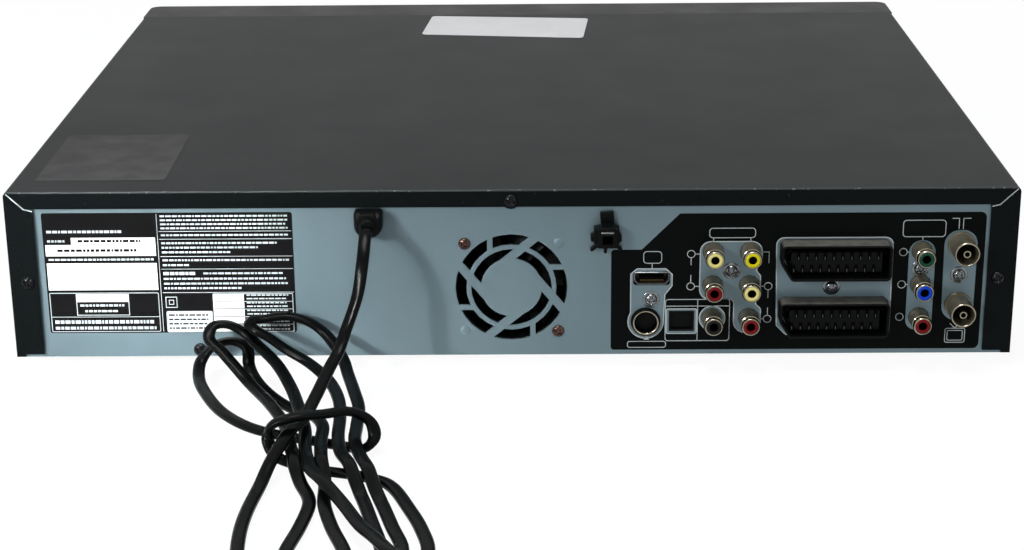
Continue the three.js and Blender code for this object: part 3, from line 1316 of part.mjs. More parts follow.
const floorRow = 2.2;

function cordCentres() {
  const points = [...leadRoute, ...wrapRoute, ...lowLoop, ...highLoop, ...lastLoop];
  const curve = new THREE.CatmullRomCurve3(points.map((p) => new THREE.Vector3(...p)),
    false, 'centripetal');
  const steps = (points.length - 1) * cord.leadSteps;
  const centres = curve.getPoints(steps);
  for (const centre of centres) centre.z = Math.max(centre.z, floorRow);
  return centres;
}

// A closed tube through ring centres; each ring is square to the path
function makeTube(centres, radius, sides) {
  const last = centres.length - 1;
  const positions = [];
  const index = [];
  const normal = new THREE.Vector3(0, 0, 1);
  centres.forEach((centre, i) => {
    const tangent = centres[Math.min(i + 1, last)].clone().sub(centres[Math.max(i - 1, 0)]);
    tangent.normalize();
    normal.addScaledVector(tangent, -normal.dot(tangent)).normalize();
    const side = new THREE.Vector3().crossVectors(tangent, normal);
    for (let j = 0; j < sides; j += 1) {
      const turn = (j * 2 * Math.PI) / sides;
      const point = centre.clone().addScaledVector(normal, radius * Math.cos(turn));
      positions.push(...point.addScaledVector(side, radius * Math.sin(turn)).toArray());
    }
  });
  for (let j = 0; j < sides; j += 1) {
    const next = (j + 1) % sides;
    for (let i = 0; i < last; i += 1) {
      const near = i * sides;
      const far = near + sides;
      index.push(near + j, near + next, far + next, near + j, far + next, far + j);
    }
    if (j > 0 && next > 0) index.push(0, next, j, last * sides, last * sides + j, last * sides + next);
  }
  const geometry = new THREE.BufferGeometry();
  geometry.setAttribute('position', new THREE.Float32BufferAttribute(positions, 3));
  geometry.setIndex(index);
  return toSolid(geometry);
}

// The least gap between stretches of the cord that aren't neighbours along it
function leastSelfGap(centres) {
  const points = [];
  const along = [];
  let length = 0;
  for (let i = 1; i < centres.length; i += 1) {
    const chord = centres[i].distanceTo(centres[i - 1]);
    for (let j = 0; j < cord.gapSamples; j += 1) {
      points.push(centres[i - 1].clone().lerp(centres[i], j / cord.gapSamples));
      along.push(length + (chord * j) / cord.gapSamples);
    }
    length += chord;
  }
  let least = Infinity;
  points.forEach((point, i) => {
    for (let j = i + 1; j < points.length; j += 1) {
      if (along[j] - along[i] > cord.bendsApart * cord.radius) {
        least = Math.min(least, point.distanceTo(points[j]) - 2 * cord.radius);
      }
    }
  });
  return { least, length };
}

const mainsLead = new THREE.Group();
mainsLead.position.set(0, rearFace, 0);
const centres = cordCentres();
const splitAt = (leadRoute.length - 1) * cord.leadSteps;
const leadCentres = centres.slice(0, splitAt + 1);
const hankCentres = centres.slice(splitAt).filter((c, i) => i % cord.leadSteps === 0);
hankCentres[0] = hankCentres[0].clone().lerp(hankCentres[1],
  gap / hankCentres[0].distanceTo(hankCentres[1]));
const measured = leastSelfGap([...leadCentres, ...hankCentres]);
console.log(`mains lead: ${measured.length.toFixed(0)} mm long, least gap to itself `
  + `${measured.least.toFixed(2)} mm`);
piece(mainsLead, 'power_cord', makeTube(leadCentres, cord.radius, cord.leadSides), rubber);
piece(mainsLead, 'cord_hank', makeTube(hankCentres, cord.radius, cord.sides), rubber);

// Plug: a flat moulded body with two round pins, lying on the floor
const plug = { length: 35, width: 33, thickness: 13.2, corner: 5, neck: 15, neckRadii: [3, 5.5] };
const plugPin = { radius: 2, length: 19, pitch: 19 };

function makePlug() {
  const { length, width, thickness, corner, neck, neckRadii } = plug;
  const bodyEnd = neck + length;
  const body = level(roundedOutline(span(0, width), [neck, bodyEnd], corner), span(0, thickness));
  const sleeve = turned('y', [[0, 0], [neckRadii[0], 0], [neckRadii[1], neck + gap],
    [0, neck + gap]], [0, 0, 0], 10);
  const pins = [-1, 1].map((side) => rod('y', plugPin.radius, [bodyEnd - gap,
    bodyEnd + plugPin.length], [(side * plugPin.pitch) / 2, 0], 10));
  return join(body, sleeve, ...pins);
}

const cordEnd = centres.at(-1);
const plugHeading = cordEnd.clone().sub(centres.at(-2)).setZ(0).normalize();
const plugPlace = cordEnd.clone().addScaledVector(plugHeading, gap);
piece(mainsLead, 'power_plug', makePlug(), blackPlastic, plugPlace.toArray());
mainsLead.getObjectByName('power_plug').rotation.z = Math.atan2(-plugHeading.x, plugHeading.y);

const group = new THREE.Group();
group.add(player, mainsLead);
export default group;
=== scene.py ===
"""Disc and tape combination player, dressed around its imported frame.

Sizes are millimetres in the case's own coordinates: x from the centre line, y from the rear
face of the cover, so that the inside is negative, and z from the cover's lower edge. The
mains lead is measured from the floor instead. Every mesh is turned into metres as it is made.
"""
import json
import logging
import math
from dataclasses import dataclass, field
from enum import Enum
from functools import cache
from typing import Optional, Sequence

import bmesh
import bpy
import numpy as np
from mathutils import Matrix, Vector
from mathutils.geometry import tessellate_polygon

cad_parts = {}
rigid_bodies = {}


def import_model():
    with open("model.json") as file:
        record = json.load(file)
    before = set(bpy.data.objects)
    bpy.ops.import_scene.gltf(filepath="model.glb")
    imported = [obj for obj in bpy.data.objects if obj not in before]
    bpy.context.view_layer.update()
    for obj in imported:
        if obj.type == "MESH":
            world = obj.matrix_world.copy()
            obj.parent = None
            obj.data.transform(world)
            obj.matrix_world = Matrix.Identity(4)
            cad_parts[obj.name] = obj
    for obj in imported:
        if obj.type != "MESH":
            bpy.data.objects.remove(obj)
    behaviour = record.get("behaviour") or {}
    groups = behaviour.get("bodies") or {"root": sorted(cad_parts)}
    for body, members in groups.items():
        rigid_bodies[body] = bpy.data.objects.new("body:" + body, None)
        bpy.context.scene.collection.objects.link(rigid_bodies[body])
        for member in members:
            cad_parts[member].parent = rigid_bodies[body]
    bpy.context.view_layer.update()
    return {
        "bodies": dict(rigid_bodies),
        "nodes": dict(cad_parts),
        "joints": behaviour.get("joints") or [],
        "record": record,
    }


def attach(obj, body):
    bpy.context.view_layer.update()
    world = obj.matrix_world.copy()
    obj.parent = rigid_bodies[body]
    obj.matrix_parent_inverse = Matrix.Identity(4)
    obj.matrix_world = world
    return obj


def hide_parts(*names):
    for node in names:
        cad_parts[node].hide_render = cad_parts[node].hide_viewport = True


Colour = tuple[float, float, float]
Point = tuple[float, float]

LOG = logging.getLogger("player")
METRE = 0.001
REAR_FACE = 180.35
CASE_ORIGIN = np.array([0.0, REAR_FACE, 5.5])
LEAD_ORIGIN = np.array([0.0, REAR_FACE, 0.0])
PANEL_FACE = -1.3
BEHIND_PANEL = -2.6
SHARP_ANGLE = 38.0
BODY_CASE = "case"
COUNTS: dict[str, int] = {}


class Axis(Enum):
    """The direction along which an outline is carried; the outline lies in the other two."""

    X = 0
    Y = 1
    Z = 2


# Finishes


def linear(colour: Colour) -> tuple[float, float, float, float]:
    """Turns a colour written in 0..255 steps into the shader's linear values.

    Args:
        colour: red, green and blue as seen on screen.

    Returns:
        Linear red, green, blue and an alpha of one.
    """
    share = np.asarray(colour, float) / 255.0
    bright = np.where(share <= 0.04045, share / 12.92, ((share + 0.055) / 1.055) ** 2.4)
    return (float(bright[0]), float(bright[1]), float(bright[2]), 1.0)


def plain_rays(tree: bpy.types.NodeTree) -> bpy.types.NodeSocket:
    """Picks the camera's rays, and those that reach it by gloss or through glass.

    Args:
        tree: the node tree of a material or of the world.

    Returns:
        One for those rays and zero for the others.
    """
    path = tree.nodes.new("ShaderNodeLightPath")
    picked = path.outputs["Is Camera Ray"]
    for ray in ("Is Glossy Ray", "Is Transmission Ray"):
        either = tree.nodes.new("ShaderNodeMath")
        either.operation = "MAXIMUM"
        tree.links.new(picked, either.inputs[0])
        tree.links.new(path.outputs[ray], either.inputs[1])
        picked = either.outputs[0]
    return picked


class Recipe:
    """One node material, put together step by step."""

    def __init__(self, name: str) -> None:
        """Starts an empty material with its shader and output.

        Args:
            name: the material's name.
        """
        self.material = bpy.data.materials.new(name)
        self.material.use_nodes = True
        self.tree = self.material.node_tree
        self.tree.nodes.clear()
        self.output = self.tree.nodes.new("ShaderNodeOutputMaterial")
        self.shader = self.tree.nodes.new("ShaderNodeBsdfPrincipled")
        self.link(self.shader.outputs["BSDF"], self.output.inputs["Surface"])
        self.coordinates = self.tree.nodes.new("ShaderNodeTexCoord")

    def link(self, source: bpy.types.NodeSocket, target: bpy.types.NodeSocket) -> None:
        """Joins an output to an input."""
        self.tree.links.new(source, target)

    def noise(self, size: float, detail: float = 3.0, stretch: Sequence[float] = (1, 1, 1),
              use_uv: bool = False) -> bpy.types.NodeSocket:
        """Adds soft noise whose lumps are about one size across.

        Args:
            size: the size of a lump in millimetres.
            detail: how many finer layers it holds.
            stretch: a factor on each axis; below one draws the lumps out.
            use_uv: reads the piece's own map in place of its object coordinates.

        Returns:
            The noise's factor.
        """
        mapping = self.tree.nodes.new("ShaderNodeMapping")
        scale = 1.0 / (size * (1.0 if use_uv else METRE))
        mapping.inputs["Scale"].default_value = [scale * s for s in stretch]
        source = self.coordinates.outputs["UV" if use_uv else "Object"]
        self.link(source, mapping.inputs["Vector"])
        noise = self.tree.nodes.new("ShaderNodeTexNoise")
        noise.inputs["Scale"].default_value = 1.0
        noise.inputs["Detail"].default_value = detail
        self.link(mapping.outputs["Vector"], noise.inputs["Vector"])
        return noise.outputs["Fac"]

    def spread(self, value: bpy.types.NodeSocket, low: float, high: float,
               start: float = 0.3, end: float = 0.7) -> bpy.types.NodeSocket:
        """Maps a value from one range onto another, held at both ends.

        Args:
            value: the value that is mapped.
            low: the result at the start.
            high: the result at the end.
            start: the value that gives the low result.
            end: the value that gives the high result.

        Returns:
            The mapped value.
        """
        node = self.tree.nodes.new("ShaderNodeMapRange")
        for socket, number in (("From Min", start), ("From Max", end), ("To Min", low),
                               ("To Max", high)):
            node.inputs[socket].default_value = number
        self.link(value, node.inputs["Value"])
        return node.outputs["Result"]

    def blend(self, factor: bpy.types.NodeSocket, first: object, second: object
              ) -> bpy.types.NodeSocket:
        """Mixes two colours, each a fixed colour or another node's.

        Args:
            factor: none of the second at zero, all of it at one.
            first: the colour at zero.
            second: the colour at one.

        Returns:
            The mixed colour.
        """
        node = self.tree.nodes.new("ShaderNodeMix")
        node.data_type = "RGBA"
        self.link(factor, node.inputs["Factor"])
        colours = [s for s in node.inputs if s.type == "RGBA"]
        for socket, colour in zip(colours, (first, second)):
            if isinstance(colour, bpy.types.NodeSocket):
                self.link(colour, socket)
            else:
                socket.default_value = colour
        return next(s for s in node.outputs if s.type == "RGBA")

    def reckon(self, operation: str, first: object, second: object = 0.0
               ) -> bpy.types.NodeSocket:
        """Adds a sum of two values.

        Args:
            operation: the sum's kind, such as MULTIPLY.
            first: a number or a node's value.
            second: a number or a node's value.

        Returns:
            The result.
        """
        node = self.tree.nodes.new("ShaderNodeMath")
        node.operation = operation
        for socket, value in zip(node.inputs, (first, second)):
            if isinstance(value, bpy.types.NodeSocket):
                self.link(value, socket)
            else:
                socket.default_value = value
        return node.outputs[0]

    def place(self) -> dict[str, bpy.types.NodeSocket]:
        """Splits the object coordinates, which are metres of the frame.

        Returns:
            The values named x, y and z.
        """
        node = self.tree.nodes.new("ShaderNodeSeparateXYZ")
        self.link(self.coordinates.outputs["Object"], node.inputs[0])
        return {name: node.outputs[name.upper()] for name in "xyz"}

    def emboss(self, height: bpy.types.NodeSocket, strength: float, depth: float) -> None:
        """Lets a height tilt the surface.

        Args:
            height: the height, from zero to one.
            strength: how much of the tilt shows.
            depth: the height of one in millimetres.
        """
        bump = self.tree.nodes.new("ShaderNodeBump")
        bump.inputs["Strength"].default_value = strength
        bump.inputs["Distance"].default_value = depth * METRE
        self.link(height, bump.inputs["Height"])
        self.link(bump.outputs["Normal"], self.shader.inputs["Normal"])


@dataclass(frozen=True)
class Finish:
    """A plain finish: a colour that drifts, a roughness that drifts and a fine grain.

    Sizes and depths are millimetres. With use_uv the noise runs along the piece's own map.
    """

    name: str
    colour: Colour
    roughness: float = 0.5
    metallic: float = 0.0
    drift: float = 0.12
    drift_size: float = 18.0
    rough_drift: float = 0.06
    grain: float = 0.35
    grain_depth: float = 0.02
    grain_strength: float = 0.25
    stretch: tuple[float, float, float] = (1.0, 1.0, 1.0)
    specular: float = 0.5
    transmission: float = 0.0
    use_uv: bool = False

    def material(self) -> bpy.types.Material:
        """Returns the finish's material, made once."""
        return made_once(self)

    def drifting(self, recipe: Recipe) -> bpy.types.NodeSocket:
        """Lets the colour drift between a darker and a lighter tone.

        Args:
            recipe: the material that is being made.

        Returns:
            The drifting colour.
        """
        base = np.asarray(linear(self.colour)[:3])
        dark = (*(base * (1 - self.drift)), 1.0)
        light = (*np.minimum(base * (1 + self.drift) + 0.002 * self.drift, 1.0), 1.0)
        cloud = recipe.noise(self.drift_size, 4.0, self.stretch, self.use_uv)
        return recipe.blend(recipe.spread(cloud, 0.0, 1.0), dark, light)

    def tone(self, recipe: Recipe) -> bpy.types.NodeSocket:
        """Gives the surface's colour; a finish with a film of its own lays it on here."""
        return self.drifting(recipe)

    def texture(self, recipe: Recipe) -> None:
        """Adds the drifting roughness and the grain.

        Args:
            recipe: the material that is being made.
        """
        smear = recipe.noise(self.drift_size * 0.6, 5.0, self.stretch, self.use_uv)
        low = max(self.roughness - self.rough_drift, 0.03)
        recipe.link(recipe.spread(smear, low, self.roughness + self.rough_drift),
                    recipe.shader.inputs["Roughness"])
        grain = recipe.noise(self.grain, 2.0, self.stretch, self.use_uv)
        recipe.emboss(grain, self.grain_strength, self.grain_depth)

    def build(self) -> bpy.types.Material:
        """Makes the material: what is the same all over, then the tone and the texture.

        Returns:
            The new material.
        """
        recipe = Recipe(self.name)
        for socket, value in (("Metallic", self.metallic), ("Specular IOR Level", self.specular),
                              ("Transmission Weight", self.transmission)):
            recipe.shader.inputs[socket].default_value = value
        recipe.link(self.tone(recipe), recipe.shader.inputs["Base Color"])
        self.texture(recipe)
        return recipe.material


@cache
def made_once(finish: Finish) -> bpy.types.Material:
    """Builds a finish's material at the first call and hands it out again later."""
    return finish.build()


@dataclass(frozen=True)
class CoverPaint(Finish):
    """Satin paint on folded sheet: fine orange peel, dust, and a painted highlight and chips on its
    rear bend.
    """

    dust_and_top_light: Colour = (120, 121, 122)
    dust_size: float = 0.9
    dust_peaks: tuple[float, float] = (0.78, 0.8)
    # Colour and share of the painted highlight along the rear bend
    bend_highlight: Colour = (92, 97, 98)
    bend_highlight_share: float = 0.5
    chip: Colour = (128, 132, 134)
    chip_size: float = 1.5
    chip_peaks: tuple[float, float] = (0.66, 0.68)
    bend: tuple[tuple[str, float], ...] = (("z", 80.1), ("y", REAR_FACE))
    bend_reach: tuple[float, float] = (0.35, 0.75)

    def tone(self, recipe: Recipe) -> bpy.types.NodeSocket:
        """Lays dust on the paint, and a painted highlight and chips near the line of the rear bend.

        Dust and chips are the peaks of noises. The line is where y and z both come close to
        the bend's own.

        Args:
            recipe: the material that is being made.

        Returns:
            The paint's colour.
        """
        specks = recipe.spread(recipe.noise(self.dust_size, 1.0), 0.0, 0.3, *self.dust_peaks)
        tone = recipe.blend(specks, self.drifting(recipe), linear(self.dust_and_top_light))
        place = recipe.place()
        away = [recipe.reckon("ABSOLUTE", recipe.reckon("SUBTRACT", place[name], line * METRE))
                for name, line in self.bend]
        near = recipe.spread(recipe.reckon("MAXIMUM", *away), 1.0, 0.0,
                             *(reach * METRE for reach in self.bend_reach))
        # A pale band along the bend: the rounded bend's highlight, painted into the colour
        tone = recipe.blend(recipe.reckon("MULTIPLY", near, self.bend_highlight_share), tone, linear(self.bend_highlight))
        flakes = recipe.spread(recipe.noise(self.chip_size, 3.0), 0.0, 1.0, *self.chip_peaks)
        return recipe.blend(recipe.reckon("MULTIPLY", near, flakes), tone, linear(self.chip))


@dataclass(frozen=True)
class TurnedMetal(Finish):
    """Bright metal with dull film that gathers in patches."""

    tarnish: Colour = (96, 88, 72)
    film: float = 0.35
    patch_size: float = 2.2

    def tone(self, recipe: Recipe) -> bpy.types.NodeSocket:
        """Lays the film on the metal where a noise is high.

        Args:
            recipe: the material that is being made.

        Returns:
            The metal's colour.
        """
        patches = recipe.spread(recipe.noise(self.patch_size, 4.0), 0.0, self.film, 0.45, 0.7)
        return recipe.blend(patches, self.drifting(recipe), linear(self.tarnish))


@dataclass(frozen=True)
class TopLitFinish(Finish):
    """Dark plastic with a pale film on what faces upwards: painted light from above."""

    # Pale colour laid on upward faces as painted light from above
    dust_and_top_light: Colour = (88, 87, 83)
    patch_size: float = 4.0

    def tone(self, recipe: Recipe) -> bpy.types.NodeSocket:
        """Lays the painted top light on as a pale film; it grows with the surface normal's rise.

        Args:
            recipe: the material that is being made.

        Returns:
            The plastic's colour.
        """
        geometry = recipe.tree.nodes.new("ShaderNodeNewGeometry")
        split = recipe.tree.nodes.new("ShaderNodeSeparateXYZ")
        recipe.link(geometry.outputs["True Normal"], split.inputs[0])
        film = recipe.spread(split.outputs["Z"], 0.0, 1.0, 0.55, 0.98)
        patchy = recipe.spread(recipe.noise(self.patch_size, 4.0), 0.7, 1.0, 0.35, 0.6)
        return recipe.blend(recipe.reckon("MULTIPLY", film, patchy), self.drifting(recipe),
                            linear(self.dust_and_top_light))


@dataclass(frozen=True)
class BoardFinish(Finish):
    """Circuit board lacquer with faint tracks of copper under it."""

    track_size: float = 5.0
    track_folds: float = 6.0
    track_gain: float = 1.7

    def tone(self, recipe: Recipe) -> bpy.types.NodeSocket:
        """Draws the tracks: thin bands where a noise, folded several times over, is low.

        Args:
            recipe: the material that is being made.

        Returns:
            The board's colour.
        """
        lines = recipe.noise(self.track_size, 0.0, (1.0, 0.25, 1.0))
        band = recipe.reckon("PINGPONG", recipe.reckon("MULTIPLY", lines, self.track_folds), 0.5)
        tracks = recipe.spread(band, 0.45, 0.0, 0.06, 0.12)
        light = np.minimum(np.asarray(linear(self.colour)[:3]) * self.track_gain, 1.0)
        return recipe.blend(tracks, self.drifting(recipe), (*light, 1.0))


def jack_plastic(name: str, colour: Colour, drift: float = 0.1) -> Finish:
    """Gives the glossy plastic of a jack's ring in one colour."""
    return Finish(f"jack_{name}", colour, 0.36, 0.0, drift, 1.5, 0.05, 0.2, 0.01, 0.15,
                  specular=0.15)


COVER = CoverPaint("cover_paint", (4, 8, 9), 0.44, 0.0, 0.05, 60.0, 0.015, 0.5, 0.02, 0.2,
                   specular=0.06)
ZINC = Finish("zinc_sheet", (98, 117, 124), 0.42, 0.45, 0.045, 30.0, 0.07, 0.5, 0.01, 0.15,
              (1.0, 1.0, 0.25))
INK = Finish("black_ink", (4, 6, 6), 0.42, 0.0, 0.12, 25.0, 0.04, 0.6, 0.01, 0.15, specular=0.04)
LABEL_INK = Finish("label_ink", (9, 9, 10), 0.36, 0.0, 0.1, 18.0, 0.04, 0.8, 0.01, 0.12,
                   specular=0.08)
PALE_INK = Finish("pale_ink", (176, 184, 186), 0.5, 0.0, 0.08, 6.0, 0.05, 0.3, 0.005, 0.1)
FIELD_INK = Finish("white_field", (222, 224, 219), 0.55, 0.0, 0.03, 9.0, 0.05, 0.3, 0.005, 0.1)
STICKER = Finish("paper_sticker", (208, 209, 211), 0.62, 0.0, 0.03, 14.0, 0.08, 0.25, 0.02, 0.25)
PATCH = Finish("dark_sticker", (44, 44, 45), 0.5, 0.0, 0.07, 20.0, 0.06, 0.3, 0.01, 0.2,
               specular=0.05)
PLASTIC = Finish("black_plastic", (6, 7, 7), 0.4, 0.0, 0.15, 12.0, 0.06, 0.25, 0.015, 0.25,
                 specular=0.06)
FRONT = Finish("front_plastic", (7, 8, 9), 0.42, 0.0, 0.08, 40.0, 0.04, 0.3, 0.012, 0.2,
               specular=0.09)
# Darker and duller than the plastic round it: painted shade for the insides of sockets and for the
# multipin slots
HOLE = Finish("socket_dark", (3, 3, 4), 0.7, 0.0, 0.2, 3.0, 0.05, 0.3, 0.01, 0.2, specular=0.02)
# The shells' upward faces carry painted light from above
SHELL = TopLitFinish("multipin_shell", (8, 9, 9), 0.46, 0.0, 0.12, 12.0, 0.05, 0.25, 0.015,
                     0.25, specular=0.06)
RUBBER = Finish("rubber", (20, 20, 21), 0.82, 0.0, 0.12, 8.0, 0.06, 0.4, 0.04, 0.5, specular=0.12)
SHEATH = Finish("cord_sheath", (2, 3, 3), 0.24, 0.0, 0.25, 9.0, 0.05, 0.7, 0.01, 0.12,
                (1.0, 0.15, 1.0), specular=0.06, use_uv=True)
NICKEL = TurnedMetal("nickel_barrel", (126, 119, 101), 0.36, 0.75, 0.1, 3.0, 0.08, 0.3, 0.01, 0.2)
BRIGHT = TurnedMetal("bright_rim", (146, 140, 124), 0.16, 1.0, 0.06, 2.0, 0.05, 0.3, 0.005, 0.1,
                     tarnish=(84, 76, 62))
DULL = TurnedMetal("dull_shell", (92, 82, 72), 0.4, 0.85, 0.1, 2.0, 0.06, 0.3, 0.005, 0.1)
PLATED = TurnedMetal("plated_screw", (112, 116, 118), 0.22, 0.95, 0.1, 2.0, 0.06, 0.3, 0.005, 0.1,
                     tarnish=(64, 66, 68), film=0.5)
STEEL = Finish("steel", (146, 151, 154), 0.38, 0.85, 0.06, 6.0, 0.08, 0.2, 0.01, 0.2)
COPPERED = TurnedMetal("coppered_screw", (84, 64, 58), 0.26, 0.95, 0.15, 3.0, 0.06, 0.3, 0.004,
                       0.1, tarnish=(30, 24, 23), film=0.7)
BLACK_SCREW = Finish("black_screw", (16, 18, 20), 0.3, 0.7, 0.2, 2.0, 0.08, 0.2, 0.01, 0.25)
GLOSSY_SCREW = Finish("glossy_screw", (14, 14, 16), 0.16, 0.4, 0.1)
GOLD = Finish("contact_gold", (176, 150, 96), 0.35, 0.9, 0.15, 2.0, 0.08, 0.2, 0.005, 0.1)
CONTACT = Finish("contact_tin", (62, 65, 65), 0.35, 0.9, 0.2, 2.0, 0.08, 0.2, 0.005, 0.1)
CREAM = jack_plastic("cream", (224, 214, 132), 0.06)
YELLOW = jack_plastic("yellow", (214, 202, 14), 0.06)
RED = jack_plastic("red", (108, 8, 14))
GREEN = jack_plastic("green", (6, 60, 40))
BLUE = jack_plastic("blue", (10, 62, 190))
JACK_BLACK = jack_plastic("black", (9, 9, 10), 0.15)
BOARD = BoardFinish("board_green", (38, 98, 62), 0.4, 0.0, 0.1, 14.0, 0.06, 0.3, 0.01, 0.2)
BROWN = BoardFinish("board_brown", (150, 112, 62), 0.55, 0.0, 0.1, 14.0, 0.06, 0.3, 0.01, 0.2)
ALUMINIUM = Finish("aluminium", (158, 161, 164), 0.42, 0.85, 0.05, 8.0, 0.07, 0.15, 0.01, 0.2)
FERRITE = Finish("ferrite", (58, 52, 47), 0.65, 0.1, 0.15, 5.0, 0.06, 0.3, 0.02, 0.35)
GREY = Finish("grey_plastic", (128, 132, 135), 0.42, 0.0, 0.05, 10.0, 0.05, 0.25, 0.01, 0.25)
WHITE = Finish("white_plastic", (222, 220, 212), 0.45, 0.0, 0.04, 6.0, 0.05, 0.25, 0.01, 0.2)
SMOKED = Finish("smoked_lens", (16, 17, 20), 0.08, 0.0, 0.05, 20.0, 0.02, 0.6, 0.002, 0.05,
                transmission=0.25)


# Shapes


@dataclass
class Shape:
    """A bare mesh: corners in millimetres, its faces, and the finish of each face."""

    points: np.ndarray
    faces: list[Sequence[int]]
    finishes: list[Finish]
    lanes: Optional[np.ndarray] = None

    def moved(self, offset: Sequence[float]) -> "Shape":
        """Returns the shape shifted by an offset in millimetres."""
        return Shape(self.points + np.asarray(offset, float), self.faces, self.finishes,
                     self.lanes)

    def turned(self, angle: float, axis: Axis, about: Sequence[float]) -> "Shape":
        """Returns the shape turned by an angle.

        Args:
            angle: degrees by the right-hand rule.
            axis: the axis that it turns about.
            about: a point on that axis.

        Returns:
            The turned shape.
        """
        matrix = np.array(Matrix.Rotation(math.radians(angle), 3, axis.name))
        centre = np.asarray(about, float)
        return Shape((self.points - centre) @ matrix.T + centre, self.faces, self.finishes)


def joined(*shapes: Shape) -> Shape:
    """Puts several shapes into one, each still closed by itself.

    Args:
        shapes: the shapes, whose lanes aren't kept.

    Returns:
        One shape with all their faces.
    """
    points, faces, finishes, start = [], [], [], 0
    for shape in shapes:
        points.append(shape.points)
        faces += [tuple(int(i) + start for i in face) for face in shape.faces]
        finishes += shape.finishes
        start += len(shape.points)
    return Shape(np.concatenate(points), faces, finishes)


def stand(flat: np.ndarray, level: np.ndarray, axis: Axis) -> np.ndarray:
    """Lifts points of a plane into space: the two flat values fill the axes left over.

    Args:
        flat: points whose last axis holds two values.
        level: the value along the axis, of the same leading shape.
        axis: the axis that the plane stands across.

    Returns:
        Points whose last axis holds x, y and z.
    """
    result = np.empty((*flat.shape[:-1], 3))
    others = [i for i in range(3) if i != axis.value]
    result[..., others[0]] = flat[..., 0]
    result[..., others[1]] = flat[..., 1]
    result[..., axis.value] = level
    return result


def skin(rings: np.ndarray, finish: Finish | Sequence[Finish]) -> Shape:
    """Wraps faces round a stack of closed rings and caps both ends.

    Args:
        rings: rings along the first axis, points round each ring, then x, y and z.
        finish: one finish, or one for each band between two rings.

    Returns:
        The closed shape. Face (i, j) joins ring i to ring i + 1 between points j and j + 1.
    """
    rows, columns = rings.shape[:2]
    i, j = np.meshgrid(np.arange(rows - 1), np.arange(columns), indexing="ij")
    beside = (j + 1) % columns
    faces: list[Sequence[int]] = np.stack(
        [i * columns + j, i * columns + beside, (i + 1) * columns + beside,
         (i + 1) * columns + j], -1).reshape(-1, 4).tolist()
    faces += [list(range(columns))[::-1], list(range((rows - 1) * columns, rows * columns))]
    each = [finish] * (rows - 1) if isinstance(finish, Finish) else list(finish)
    finishes = [one for one in each for _ in range(columns)]
    return Shape(rings.reshape(-1, 3), faces, [*finishes, each[0], each[-1]])


def turned(bands: Sequence[tuple[Finish, Sequence[Point]]], centre: Sequence[float],
           axis: Axis = Axis.Y, steps: int = 40) -> Shape:
    """Turns a profile about a line: a point at radius r and height h becomes a ring.

    Args:
        bands: finishes with the profile points, radius and height, that they run on to.
        centre: where the line crosses, as x, y and z; heights add to it.
        axis: the line's direction.
        steps: points round a ring.

    Returns:
        The turned shape, capped at both ends.
    """
    profile = np.array([p for _, points in bands for p in points], float)
    each = [finish for finish, points in bands for _ in points][1:]
    flat = profile[:, None, :1] * circle((0, 0), 1.0, steps)
    rings = stand(flat, np.broadcast_to(profile[:, 1:2], flat.shape[:2]), axis)
    return skin(rings + np.asarray(centre, float), each)


def rounded(corners: Sequence[Point], radius: float | Sequence[float], steps: int = 6
            ) -> np.ndarray:
    """Rounds the corners of an outline: each becomes an arc that touches both its sides.

    Args:
        corners: the outline's corners in order.
        radius: one radius, or one for each corner.
        steps: spans in each arc.

    Returns:
        The points of the rounded outline.
    """
    points = np.asarray(corners, float)
    radii = np.broadcast_to(np.asarray(radius, float), (len(points),))
    result = []
    for corner, before, after, r in zip(points, np.roll(points, 1, 0), np.roll(points, -1, 0),
                                        radii):
        if r <= 0:
            result.append(corner[None])
            continue
        back, ahead = before - corner, after - corner
        back, ahead = back / np.linalg.norm(back), ahead / np.linalg.norm(ahead)
        half = math.acos(float(np.clip(back @ ahead, -1, 1))) / 2
        reach = r / math.tan(half)
        middle = corner + (back + ahead) / np.linalg.norm(back + ahead) * r / math.sin(half)
        first, last = corner + back * reach - middle, corner + ahead * reach - middle
        start = math.atan2(first[1], first[0])
        sweep = (math.atan2(last[1], last[0]) - start + math.pi) % (2 * math.pi) - math.pi
        turn = start + sweep * np.linspace(0, 1, steps + 1)
        result.append(middle + r * np.stack([np.cos(turn), np.sin(turn)], -1))
    return np.concatenate(result)


def rectangle(first: Sequence[float], second: Sequence[float], radius: float = 0.0,
              steps: int = 6) -> np.ndarray:
    """Gives the outline of a rectangle between two pairs of coordinates."""
    (a0, a1), (b0, b1) = sorted(first), sorted(second)
    return rounded([(a0, b0), (a1, b0), (a1, b1), (a0, b1)], radius, steps)


def circle(centre: Sequence[float], radius: float, steps: int = 32) -> np.ndarray:
    """Gives a circle's outline."""
    angle = np.linspace(0, 2 * np.pi, steps, endpoint=False)
    return np.asarray(centre, float) + radius * np.stack([np.cos(angle), np.sin(angle)], -1)


def inset(outline: np.ndarray, distance: float) -> np.ndarray:
    """Moves an outline inwards: each corner slides along the line that halves its angle.

    Args:
        outline: the outline's points.
        distance: how far each side moves; below zero it grows.

    Returns:
        The outline's new points, as many as before.
    """
    ahead = np.roll(outline, -1, 0) - outline
    area = np.sum(outline[:, 0] * np.roll(outline, -1, 0)[:, 1]
                  - outline[:, 1] * np.roll(outline, -1, 0)[:, 0])
    ahead = ahead / np.maximum(np.linalg.norm(ahead, axis=1, keepdims=True), 1e-9)
    inward = np.stack([-ahead[:, 1], ahead[:, 0]], -1) * (1 if area > 0 else -1)
    before = np.roll(inward, 1, 0)
    share = 1 + np.sum(inward * before, axis=1, keepdims=True)
    return outline + distance * (inward + before) / np.maximum(share, 0.4)


